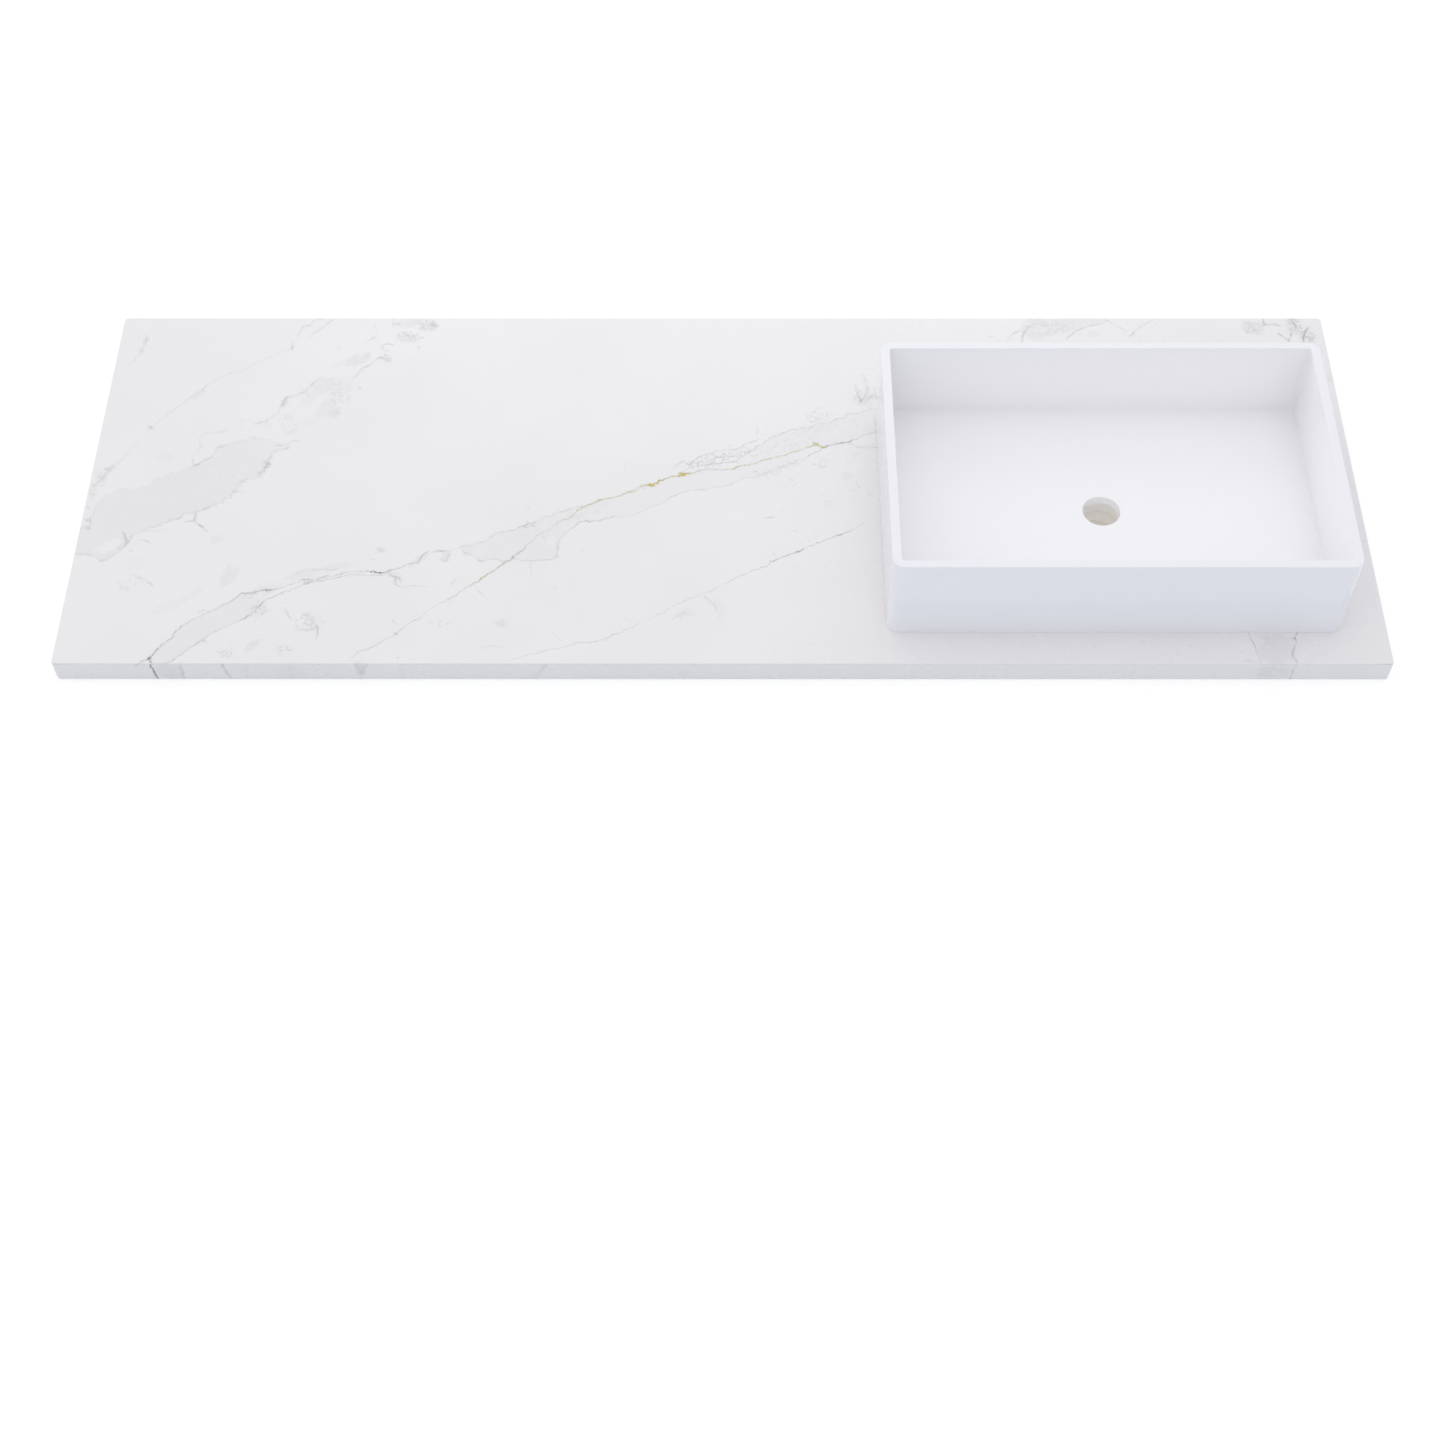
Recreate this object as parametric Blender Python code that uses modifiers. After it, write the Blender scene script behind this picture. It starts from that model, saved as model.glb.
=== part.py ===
"""Vanity sink top: a built-up stone top with a rectangular basin bonded on its right-hand side.

The top is a thin veined stone panel with mitred aprons on its front and both ends. It lies in
adhesive on a ladder of plywood battens, the widest of them under the drain. The basin stands on a
narrow foot, over a hole that was cored through panel, adhesive and batten in one go.

Units are metres. +Z is up, +X runs to the right-hand end and -Y to the front edge. The origin is
the centre of the underside.
"""

import math

import bmesh
import bpy
from mathutils import Matrix, Vector

# Stone top, built up from panel, aprons and a strip along the back
TOP_LENGTH = 1.5494
TOP_DEPTH = 0.5588
TOP_HEIGHT = 0.030
PANEL_THICKNESS = 0.012
APRON_THICKNESS = 0.012
BACK_STRIP_THICKNESS = 0.012
TOP_CORNER_RADIUS = 0.005
ARRIS_RADIUS = 0.0015

# Glue lines, and the play between pieces that only lie side by side
GLUE_GAP = 0.0003
SEAT_GAP = 0.0003

# Plywood ladder under the panel
ADHESIVE_BED = 0.003
BATTEN_WIDTH = 0.070
DRAIN_BATTEN_WIDTH = 0.140
BATTEN_CHAMFER = 0.001
BATTENS_LEFT_OF_DRAIN = 4
ADHESIVE_WIDTH_SHARE = 0.6
ADHESIVE_END_SHARE = 0.45
ADHESIVE_END_MARGIN = 0.010

# Basin
BASIN_LENGTH = 0.530
BASIN_DEPTH = 0.350
BASIN_HEIGHT = 0.120
BASIN_WALL = 0.0105
BASIN_FLOOR = 0.012
BASIN_INNER_RADIUS = 0.0035
BASIN_FLOOR_RADIUS = 0.002
BASIN_EDGE_RADIUS = 0.0008
BASIN_TO_RIGHT = 0.053
BASIN_TO_FRONT = 0.046
FOOT_WIDTH = 0.014
FOOT_CORNER_RADIUS = 0.006
RECESS_DEPTH = 0.0035

# Drain hole through the basin and, a little tighter, through the top
DRAIN_DIAMETER = 0.045
DRAIN_CHAMFER = 0.0008
DRAIN_BOSS_WALL = 0.015
PANEL_LEDGE = 0.001

# Share of a mitre that its cutting shape runs on past the arris, and the overrun of other cuts
MITRE_OVERRUN_SHARE = 0.5
CUT_OVERRUN = 0.010

# Facets
CORNER_SEGMENTS = 8
EDGE_SEGMENTS = 2
ROUND_STEPS = 64
BEAD_RESOLUTION = 2
SMOOTH_ANGLE = math.radians(35)
TOLERANCE = 1e-6

# Finishes: colour, roughness
VEINED_STONE = ((0.83, 0.83, 0.84), 0.35)
RAW_PLYWOOD = ((0.55, 0.40, 0.25), 0.75)
CURED_ADHESIVE = ((0.62, 0.60, 0.56), 0.60)
GLAZED_WHITE = ((0.88, 0.88, 0.91), 0.15)
CLEAR_SILICONE = ((0.78, 0.78, 0.78), 0.30)

# Sizes that follow from the ones above
HALF_LENGTH = TOP_LENGTH / 2
HALF_DEPTH = TOP_DEPTH / 2
PANEL_UNDERSIDE = TOP_HEIGHT - PANEL_THICKNESS
BATTEN_THICKNESS = PANEL_UNDERSIDE - ADHESIVE_BED
MITRE_DROP = GLUE_GAP * math.hypot(APRON_THICKNESS, PANEL_THICKNESS) / APRON_THICKNESS
CORNER_MITRE_SHIFT = GLUE_GAP * math.sqrt(2)
BASIN_OUTER_RADIUS = BASIN_INNER_RADIUS + BASIN_WALL
BOSS_RADIUS = DRAIN_DIAMETER / 2 + DRAIN_BOSS_WALL
DRAIN_PLACE = Vector((
    HALF_LENGTH - BASIN_TO_RIGHT - BASIN_LENGTH / 2,
    BASIN_TO_FRONT + BASIN_DEPTH / 2 - HALF_DEPTH,
    TOP_HEIGHT,
))


def clear_scene():
    """Remove every object that the file holds."""
    for item in list(bpy.data.objects):
        bpy.data.objects.remove(item, do_unlink=True)


def new_collection(name):
    """A new collection of this name in the scene."""
    collection = bpy.data.collections.new(name)
    bpy.context.scene.collection.children.link(collection)
    return collection


def finish_material(name, finish):
    """A Principled material of one piece, from a finish's colour and roughness."""
    colour, roughness = finish
    material = bpy.data.materials.new(name + "_finish")
    material.use_nodes = True
    shader = material.node_tree.nodes["Principled BSDF"]
    shader.inputs["Base Color"].default_value = (*colour, 1)
    shader.inputs["Roughness"].default_value = roughness
    shader.inputs["Metallic"].default_value = 0
    return material


def add_piece(name, data, finish, parent):
    """A visible piece of the sink top: its data in the parts collection, with its material."""
    piece = bpy.data.objects.new(name, data)
    data.materials.append(finish_material(name, finish))
    piece.parent = parent
    parts.objects.link(piece)
    return piece


def add_cutter(name, mesh, parent=None):
    """A hidden shape that only cuts others."""
    cutter = bpy.data.objects.new(name, mesh)
    cutter.parent = parent
    cutter.hide_render = True
    cutter.display_type = "WIRE"
    cutters.objects.link(cutter)
    return cutter


def combine(target, tool, operation):
    """Cut the target by a hidden shape, or keep only what lies inside it."""
    modifier = target.modifiers.new(f"{operation.lower()}_{tool.name}", "BOOLEAN")
    modifier.operation = operation
    modifier.object = tool
    modifier.solver = "EXACT"


def add_block(bm, low, high):
    """Add a box between two corners and return its vertices."""
    low, high = Vector(low), Vector(high)
    size = high - low
    place = Matrix.Translation((low + high) / 2) @ Matrix.Diagonal((*size, 1))
    return bmesh.ops.create_cube(bm, size=1, matrix=place)["verts"]


def upright_edges(vertices):
    """The edges among these vertices that run along Z."""
    edges = {edge for vertex in vertices for edge in vertex.link_edges}
    return [edge for edge in edges if is_upright(edge)]


def is_upright(edge):
    """Whether an edge runs along Z."""
    run = edge.verts[1].co - edge.verts[0].co
    return math.hypot(run.x, run.y) < TOLERANCE


def edges_round(face):
    """The edges round one face."""
    return list(face.edges)


def round_edges(bm, edges, radius, segments):
    """Round some edges to a radius."""
    bmesh.ops.bevel(
        bm, geom=edges, offset=radius, offset_type="OFFSET", segments=segments,
        profile=0.5, affect="EDGES",
    )


def flat_face_at(bm, height):
    """The largest level face at a height."""
    level = [face for face in bm.faces if abs(face.calc_center_median().z - height) < TOLERANCE]
    level = [face for face in level if abs(face.normal.z) > 1 - TOLERANCE]
    return max(level, key=lambda face: face.calc_area())


def finished_mesh(bm, name, smooth=False):
    """Turn a bmesh into a mesh with its faces outward."""
    bmesh.ops.recalc_face_normals(bm, faces=bm.faces)
    mesh = bpy.data.meshes.new(name)
    bm.to_mesh(mesh)
    bm.free()
    if smooth:
        mesh.shade_smooth()
        mesh.set_sharp_from_angle(angle=SMOOTH_ANGLE)
    return mesh


def rounded_block(low, high, corner_radius):
    """A bmesh of a box whose upright edges are rounded."""
    bm = bmesh.new()
    vertices = add_block(bm, low, high)
    round_edges(bm, upright_edges(vertices), corner_radius, CORNER_SEGMENTS)
    bm.normal_update()
    return bm


def block_with_corners(name, corner):
    """A six-sided mesh whose corners are given by corner(right, back, upper)."""
    bm = bmesh.new()
    bmesh.ops.create_cube(bm, size=1)
    for vertex in bm.verts:
        right, back, upper = (value > 0 for value in vertex.co)
        vertex.co = corner(right, back, upper)
    return finished_mesh(bm, name)


def round_tool(name, profile, parent=None):
    """A cutter turned about Z from a profile of (radius, height) that runs down its outer side."""
    mesh = bpy.data.meshes.new(name)
    points = [(radius, 0, height) for radius, height in profile]
    runs = [(index, index + 1) for index in range(len(points) - 1)]
    mesh.from_pydata(points, runs, [])
    tool = add_cutter(name, mesh, parent)
    screw = tool.modifiers.new("turn", "SCREW")
    screw.steps = ROUND_STEPS
    screw.render_steps = ROUND_STEPS
    screw.use_merge_vertices = True
    screw.merge_threshold = TOLERANCE
    return tool


# The stone top


def make_outline():
    """The whole top's outer shape, with its rounded corners and eased arrises."""
    bm = rounded_block(
        (-HALF_LENGTH, -HALF_DEPTH, 0), (HALF_LENGTH, HALF_DEPTH, TOP_HEIGHT), TOP_CORNER_RADIUS,
    )
    for height in (0, TOP_HEIGHT):
        round_edges(bm, edges_round(flat_face_at(bm, height)), ARRIS_RADIUS, EDGE_SEGMENTS)
        bm.normal_update()
    return add_cutter("top_outline", finished_mesh(bm, "top_outline"))


def add_stone(name, corner, outline, parent):
    """A stone piece: the part of the top's outline inside the shape with these corners."""
    piece = add_piece(name, block_with_corners(name, corner), VEINED_STONE, parent)
    combine(piece, outline, "INTERSECT")
    return piece


def mitre_reach(outer):
    """How far a mitre's side lies out from the arris: past it outside, a thickness in inside."""
    return MITRE_OVERRUN_SHARE if outer else -1


def panel_corner(right, back, upper):
    """The panel widens upward: its front and ends are mitred, its back is square."""
    reach = mitre_reach(upper)
    x = HALF_LENGTH + reach * APRON_THICKNESS
    y = HALF_DEPTH + CUT_OVERRUN if back else -HALF_DEPTH - reach * APRON_THICKNESS
    return Vector((x if right else -x, y, TOP_HEIGHT + reach * PANEL_THICKNESS))


def apron_top(reach):
    """Height of an apron's mitred top, a glue line under the panel's mitre."""
    return TOP_HEIGHT + reach * PANEL_THICKNESS - MITRE_DROP


def front_apron_corner(right, back, upper):
    """The front apron is mitred to the panel and to both end aprons."""
    reach = mitre_reach(not back)
    x = HALF_LENGTH + reach * APRON_THICKNESS
    z = apron_top(reach) if upper else -CUT_OVERRUN
    return Vector((x if right else -x, -HALF_DEPTH - reach * APRON_THICKNESS, z))


def end_apron_corner(side):
    """Corners of an end apron; side is -1 at the left-hand end and 1 at the right."""

    def corner(right, back, upper):
        reach = mitre_reach(right == (side > 0))
        x = side * (HALF_LENGTH + reach * APRON_THICKNESS)
        front = -HALF_DEPTH - reach * APRON_THICKNESS + CORNER_MITRE_SHIFT
        y = HALF_DEPTH + CUT_OVERRUN if back else front
        z = apron_top(reach) if upper else -CUT_OVERRUN
        return Vector((x, y, z))

    return corner


def back_strip_corner(right, back, upper):
    """The back strip is butted between the end aprons, under the panel."""
    x = HALF_LENGTH - APRON_THICKNESS - GLUE_GAP
    y = HALF_DEPTH + CUT_OVERRUN if back else HALF_DEPTH - BACK_STRIP_THICKNESS
    z = PANEL_UNDERSIDE - GLUE_GAP if upper else -CUT_OVERRUN
    return Vector((x if right else -x, y, z))


def make_stone_top(parent):
    """The five stone pieces, glued into one thick edge."""
    outline = make_outline()
    panel = add_stone("top_panel", panel_corner, outline, parent)
    add_stone("front_apron", front_apron_corner, outline, parent)
    add_stone("left_apron", end_apron_corner(-1), outline, parent)
    add_stone("right_apron", end_apron_corner(1), outline, parent)
    add_stone("back_strip", back_strip_corner, outline, parent)
    return panel


def make_core_hole():
    """The hole cored through the whole top, a small ledge tighter than the basin's."""
    radius = DRAIN_DIAMETER / 2 - PANEL_LEDGE
    above = TOP_HEIGHT + CUT_OVERRUN
    hole = round_tool(
        "core_hole", [(0, above), (radius, above), (radius, -CUT_OVERRUN), (0, -CUT_OVERRUN)],
    )
    hole.location = (DRAIN_PLACE.x, DRAIN_PLACE.y, 0)
    return hole


# The plywood ladder and its adhesive


def batten_places():
    """Low and high plan corners of every batten, by name."""
    end_x = HALF_LENGTH - APRON_THICKNESS - SEAT_GAP
    front_y = -HALF_DEPTH + APRON_THICKNESS + SEAT_GAP
    back_y = HALF_DEPTH - BACK_STRIP_THICKNESS - SEAT_GAP
    places = {
        "front_batten": ((-end_x, front_y), (end_x, front_y + BATTEN_WIDTH)),
        "back_batten": ((-end_x, back_y - BATTEN_WIDTH), (end_x, back_y)),
    }

    cross_front = front_y + BATTEN_WIDTH + SEAT_GAP
    cross_back = back_y - BATTEN_WIDTH - SEAT_GAP

    def across(centre, width):
        return (centre - width / 2, cross_front), (centre + width / 2, cross_back)

    last = end_x - BATTEN_WIDTH / 2
    pitch = (DRAIN_PLACE.x + last) / BATTENS_LEFT_OF_DRAIN
    centres = [-last + index * pitch for index in range(BATTENS_LEFT_OF_DRAIN)] + [last]
    for number, centre in enumerate(centres, start=1):
        places[f"cross_batten_{number}"] = across(centre, BATTEN_WIDTH)
    places["drain_batten"] = across(DRAIN_PLACE.x, DRAIN_BATTEN_WIDTH)
    return places


def make_battens(core_hole, parent):
    """Plywood battens, each a plank with chamfered edges, flush with the aprons' undersides."""
    for name, (low, high) in batten_places().items():
        bm = bmesh.new()
        add_block(bm, (*low, 0), (*high, BATTEN_THICKNESS))
        round_edges(bm, list(bm.edges), BATTEN_CHAMFER, 1)
        batten = add_piece(name, finished_mesh(bm, name), RAW_PLYWOOD, parent)
        if name == "drain_batten":
            combine(batten, core_hole, "DIFFERENCE")


def make_adhesive(core_hole, parent):
    """A squashed bed of adhesive down the middle of each batten, between it and the panel."""
    bottom = BATTEN_THICKNESS + SEAT_GAP
    top = PANEL_UNDERSIDE - SEAT_GAP
    for batten, (low, high) in batten_places().items():
        low, high = Vector(low), Vector(high)
        along, across = (0, 1) if high.x - low.x > high.y - low.y else (1, 0)
        middle = (low[across] + high[across]) / 2
        width = (high[across] - low[across]) * ADHESIVE_WIDTH_SHARE
        low[along] += ADHESIVE_END_MARGIN
        high[along] -= ADHESIVE_END_MARGIN
        low[across] = middle - width / 2
        high[across] = middle + width / 2
        bm = rounded_block((*low, bottom), (*high, top), ADHESIVE_END_SHARE * width)
        name = batten.replace("batten", "adhesive")
        bed = add_piece(name, finished_mesh(bm, name), CURED_ADHESIVE, parent)
        if batten == "drain_batten":
            combine(bed, core_hole, "DIFFERENCE")


# The basin, drawn about the middle of its drain at the height of the stone


def basin_body():
    """The basin's block, hollowed from above, with its edges eased."""
    half = Vector((BASIN_LENGTH / 2, BASIN_DEPTH / 2))
    bm = rounded_block(
        (-half.x, -half.y, SEAT_GAP), (half.x, half.y, BASIN_HEIGHT), BASIN_OUTER_RADIUS,
    )
    rim = flat_face_at(bm, BASIN_HEIGHT)
    outer_edges = edges_round(rim)
    bmesh.ops.inset_region(bm, faces=[rim], thickness=BASIN_WALL, use_even_offset=True)
    inner_edges = edges_round(rim)
    floor = bmesh.ops.extrude_discrete_faces(bm, faces=[rim])["faces"][0]
    bmesh.ops.translate(bm, verts=floor.verts, vec=(0, 0, BASIN_FLOOR - BASIN_HEIGHT))
    bm.normal_update()
    round_edges(bm, outer_edges + inner_edges, BASIN_EDGE_RADIUS, EDGE_SEGMENTS)
    bm.normal_update()
    round_edges(bm, edges_round(flat_face_at(bm, BASIN_FLOOR)), BASIN_FLOOR_RADIUS, EDGE_SEGMENTS)
    bm.normal_update()
    round_edges(bm, edges_round(flat_face_at(bm, SEAT_GAP)), BASIN_EDGE_RADIUS, EDGE_SEGMENTS)
    return finished_mesh(bm, "basin", smooth=True)


def make_recess_tool(parent):
    """The shallow recess inside the foot; a boss round the drain stays at the foot's height."""
    half = Vector((BASIN_LENGTH / 2 - FOOT_WIDTH, BASIN_DEPTH / 2 - FOOT_WIDTH))
    bm = rounded_block(
        (-half.x, -half.y, -CUT_OVERRUN), (half.x, half.y, RECESS_DEPTH), FOOT_CORNER_RADIUS,
    )
    recess = add_cutter("foot_recess", finished_mesh(bm, "foot_recess"), parent)
    above = RECESS_DEPTH + CUT_OVERRUN
    below = -CUT_OVERRUN - CUT_OVERRUN
    outline = [(0, above), (BOSS_RADIUS, above), (BOSS_RADIUS, below), (0, below)]
    boss = round_tool("drain_boss", outline, parent)
    combine(recess, boss, "DIFFERENCE")
    return recess


def make_drain_tool(parent):
    """The drain hole, with a small chamfer at the basin's floor."""
    radius = DRAIN_DIAMETER / 2
    above = BASIN_FLOOR + CUT_OVERRUN
    wide = radius + DRAIN_CHAMFER + CUT_OVERRUN
    outline = [
        (0, above), (wide, above), (radius, BASIN_FLOOR - DRAIN_CHAMFER),
        (radius, -CUT_OVERRUN), (0, -CUT_OVERRUN),
    ]
    return round_tool("drain_hole", outline, parent)


def rounded_rectangle(half_x, half_y, radius):
    """Points round a rectangle with rounded corners, anticlockwise from its right-hand side."""
    points = []
    for turn in range(4):
        sign_x = 1 if turn in (0, 3) else -1
        sign_y = 1 if turn in (0, 1) else -1
        centre = Vector((sign_x * (half_x - radius), sign_y * (half_y - radius), 0))
        for step in range(CORNER_SEGMENTS + 1):
            angle = math.radians(90) * (turn + step / CORNER_SEGMENTS)
            points.append(centre + radius * Vector((math.cos(angle), math.sin(angle), 0)))
    return points


def circle(radius):
    """Points round a circle."""
    angles = (math.tau * step / ROUND_STEPS for step in range(ROUND_STEPS))
    return [radius * Vector((math.cos(angle), math.sin(angle), 0)) for angle in angles]


def add_bead(name, points, radius, parent):
    """A closed bead of silicone along some points, lying in the recess."""
    curve = bpy.data.curves.new(name, "CURVE")
    curve.dimensions = "3D"
    curve.bevel_depth = radius
    curve.bevel_resolution = BEAD_RESOLUTION
    spline = curve.splines.new("POLY")
    spline.points.add(len(points) - 1)
    for target, point in zip(spline.points, points):
        target.co = (*point, 1)
    spline.use_cyclic_u = True
    bead = add_piece(name, curve, CLEAR_SILICONE, parent)
    bead.location.z = RECESS_DEPTH / 2
    return bead


def make_basin(parent):
    """The basin on its foot, and the silicone that bonds and seals it to the stone."""
    drain = bpy.data.objects.new("drain_place", None)
    drain.location = DRAIN_PLACE
    drain.parent = parent
    parts.objects.link(drain)

    basin = add_piece("basin", basin_body(), GLAZED_WHITE, drain)
    combine(basin, make_recess_tool(drain), "DIFFERENCE")
    combine(basin, make_drain_tool(drain), "DIFFERENCE")

    radius = RECESS_DEPTH / 2 - SEAT_GAP
    inset = FOOT_WIDTH + SEAT_GAP + radius
    path = rounded_rectangle(
        BASIN_LENGTH / 2 - inset, BASIN_DEPTH / 2 - inset, FOOT_CORNER_RADIUS - SEAT_GAP - radius,
    )
    add_bead("basin_foot_seal", path, radius, drain)
    add_bead("drain_seal", circle(BOSS_RADIUS + SEAT_GAP + radius), radius, drain)


clear_scene()
parts = new_collection("vanity_sink_top")
cutters = new_collection("cutters")
underside_centre = bpy.data.objects.new("underside_centre", None)
parts.objects.link(underside_centre)
cored = make_core_hole()
combine(make_stone_top(underside_centre), cored, "DIFFERENCE")
make_battens(cored, underside_centre)
make_adhesive(cored, underside_centre)
make_basin(underside_centre)
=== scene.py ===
"""Looks of the vanity sink top: veined stone, glazed basin and what lies under them.

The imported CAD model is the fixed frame. Its stone, plywood, adhesive and silicone nodes stay and get
their finishes here. The basin is modelled again with rounder edges, and the mitres are filled with
glue.

Units are metres, as in the frame: +X runs to the right-hand end, +Y to the wall, +Z up. The veins
are drawn in millimetres, from the middle of the front edge.
"""

import math

import bmesh
import bpy
from mathutils import Matrix, Vector


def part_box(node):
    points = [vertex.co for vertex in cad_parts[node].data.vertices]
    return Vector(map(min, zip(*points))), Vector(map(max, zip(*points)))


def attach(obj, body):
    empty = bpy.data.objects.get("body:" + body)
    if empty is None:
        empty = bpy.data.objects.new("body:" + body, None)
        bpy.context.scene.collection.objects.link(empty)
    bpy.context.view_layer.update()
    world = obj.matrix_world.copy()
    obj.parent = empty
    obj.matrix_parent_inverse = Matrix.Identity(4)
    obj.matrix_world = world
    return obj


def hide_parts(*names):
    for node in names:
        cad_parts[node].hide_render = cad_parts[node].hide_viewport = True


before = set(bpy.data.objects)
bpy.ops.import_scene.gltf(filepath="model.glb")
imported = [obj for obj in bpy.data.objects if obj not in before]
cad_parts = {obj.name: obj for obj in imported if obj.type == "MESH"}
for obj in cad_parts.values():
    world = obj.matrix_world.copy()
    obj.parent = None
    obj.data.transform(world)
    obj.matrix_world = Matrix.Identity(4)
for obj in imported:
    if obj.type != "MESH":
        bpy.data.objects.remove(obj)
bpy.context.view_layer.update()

MM = 0.001

# Places and sizes read off the frame
PANEL_LOW, PANEL_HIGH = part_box("top_panel")
BASIN_LOW, BASIN_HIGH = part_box("basin")
HALF_LENGTH = PANEL_HIGH.x
HALF_DEPTH = PANEL_HIGH.y
TOP_HEIGHT = PANEL_HIGH.z
PANEL_UNDERSIDE = PANEL_LOW.z
BATTEN_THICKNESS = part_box("front_batten")[1].z
DRAIN = Vector(((BASIN_LOW.x + BASIN_HIGH.x) / 2, (BASIN_LOW.y + BASIN_HIGH.y) / 2, 0))

# Basin, with the frame's sizes. Its foot is let down by BASIN_SETTLED to close the gap on the stone
BASIN_WALL = 10.5 * MM
BASIN_FLOOR = 12 * MM
BASIN_INNER_RADIUS = 3.5 * MM
BASIN_EASING = 0.8 * MM
BASIN_FOOT_EASING = 0.3 * MM
BASIN_SETTLED = 0.25 * MM
BASIN_FLOOR_RADIUS = 2 * MM
FOOT_WIDTH = 14 * MM
FOOT_CORNER_RADIUS = 6 * MM
RECESS_DEPTH = 3.5 * MM
DRAIN_RADIUS = 22.5 * MM
DRAIN_BOSS_RADIUS = 37.5 * MM
DRAIN_EASING = 0.8 * MM
BORE_RADIUS = 21.5 * MM
CORNER_SEGMENTS = 20
EASING_SEGMENTS = 4
HOLE_SEGMENTS = 96
SMOOTH_ANGLE = math.radians(40)
CUT_OVERRUN = 5 * MM
TOLERANCE = 0.01 * MM

# Stone edge, with the frame's sizes, and the glue's distance from it
ARRIS_RADIUS = 1.5 * MM
APRON_THICKNESS = 12 * MM
GLUE_GAP = 0.3 * MM
GLUE_CLEARANCE = 0.02 * MM

# Camera at the photograph's viewpoint
PHOTO_SIDE = 1445
FOCAL_LENGTH_PX = 2232.86
SENSOR_WIDTH = 36.0
CAMERA_PLACE = Vector((0.00277, -1.81366, 2.09688))
CAMERA_DOWN = math.radians(54.911)
CAMERA_LEFT = math.radians(0.0957)
CAMERA_ROLL = math.radians(-0.0622)

# Floor
FLOOR_HALF_SIZE = 6.0
FLOOR_DROP = 0.5 * MM


# Shader nodes written as Python expressions


class Value:
    """Wraps a node's output. Sums on values are written as on numbers and add Math nodes."""

    def __init__(self, nodes, socket):
        self.nodes = nodes
        self.socket = socket

    def maths(self, operation, *terms):
        return self.nodes.add("Math", {"operation": operation}, dict(enumerate(terms)))

    def __add__(self, other):
        return self.maths("ADD", self, other)

    __radd__ = __add__

    def __sub__(self, other):
        return self.maths("SUBTRACT", self, other)

    def __rsub__(self, other):
        return self.maths("SUBTRACT", other, self)

    def __mul__(self, other):
        return self.maths("MULTIPLY", self, other)

    __rmul__ = __mul__

    def __truediv__(self, other):
        return self.maths("DIVIDE", self, other)

    def __gt__(self, other):
        return self.maths("GREATER_THAN", self, other)

    def __lt__(self, other):
        return self.maths("LESS_THAN", self, other)

    def __abs__(self):
        return self.maths("ABSOLUTE", self)

    def or_more(self, other):
        return self.maths("MAXIMUM", self, other)

    def or_less(self, other):
        return self.maths("MINIMUM", self, other)

    def fraction(self):
        return self.maths("FRACT", self)

    def sign(self):
        return self.maths("SIGN", self)

    def ease(self, start, end, low=0.0, high=1.0):
        """Runs smoothly from low to high as the value goes from start to end."""
        return self.nodes.add(
            "MapRange", {"interpolation_type": "SMOOTHSTEP", "clamp": False},
            {"Value": self, "From Min": start, "From Max": end, "To Min": low, "To Max": high},
        )


class Nodes:
    """A node tree that is filled by expressions."""

    def __init__(self, tree):
        self.tree = tree

    def add(self, kind, settings=None, inputs=None, output=0):
        """Add a node: settings first, then sockets. Gives one output, or several by name."""
        node = self.tree.nodes.new("ShaderNode" + kind)
        for name, setting in (settings or {}).items():
            if name == "curve":
                draw_curve(node.mapping, setting)
            else:
                setattr(node, name, setting)
        for name, value in (inputs or {}).items():
            self.feed(node.inputs[name], value)
        if isinstance(output, tuple):
            return tuple(Value(self, node.outputs[name]) for name in output)
        return Value(self, node.outputs[output])

    def feed(self, socket, value):
        """Link a value to a socket, or set the socket to a number, colour or vector."""
        if isinstance(value, Value):
            self.tree.links.new(value.socket, socket)
        elif socket.type == "RGBA":
            socket.default_value = (*value, 1)
        else:
            socket.default_value = value

    def vector(self, operation, *vectors, output="Vector"):
        """A Vector Math node."""
        inputs = dict(enumerate(vectors))
        return self.add("VectorMath", {"operation": operation}, inputs, output)

    def dot(self, vector, direction):
        """How far a vector runs in a direction."""
        return self.vector("DOT_PRODUCT", vector, direction, output="Value")

    def join(self, x, y, z=0.0):
        """A vector from three numbers."""
        return self.add("CombineXYZ", None, {"X": x, "Y": y, "Z": z})

    def split(self, vector):
        """The three numbers of a vector."""
        return self.add("SeparateXYZ", None, {0: vector}, ("X", "Y", "Z"))

    def mix(self, share, first, second):
        """A colour that goes from the first to the second as the share goes from 0 to 1."""
        return self.add("Mix", {"data_type": "RGBA"}, {0: share, 6: first, 7: second}, 2)

    def noise(self, place, size, detail=2.0, roughness=0.5, output="Factor"):
        """Noise, as a number or as a colour, whose blobs are about this many metres across."""
        inputs = {"Vector": place, "Scale": 1 / size, "Detail": detail, "Roughness": roughness}
        return self.add("TexNoise", None, inputs, 0 if output == "Factor" else 1)

    def curve(self, value, points):
        """A value read off straight runs between (value, reading) points."""
        return self.add("FloatCurve", {"curve": points}, {"Value": value})


CURVE_LIMIT = 100


def draw_curve(mapping, points):
    """Lay a curve node's line through some points, with straight runs between them."""
    mapping.use_clip = False
    # The lower limit stays below the upper one at every step
    mapping.clip_min_x = -CURVE_LIMIT
    mapping.clip_max_x = points[-1][0]
    mapping.clip_min_x = points[0][0]
    line = mapping.curves[0].points
    line[0].location = points[0]
    line[1].location = points[-1]
    for point in points[1:-1]:
        line.new(*point)
    for point in line:
        point.handle_type = "VECTOR"
    mapping.update()


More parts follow.
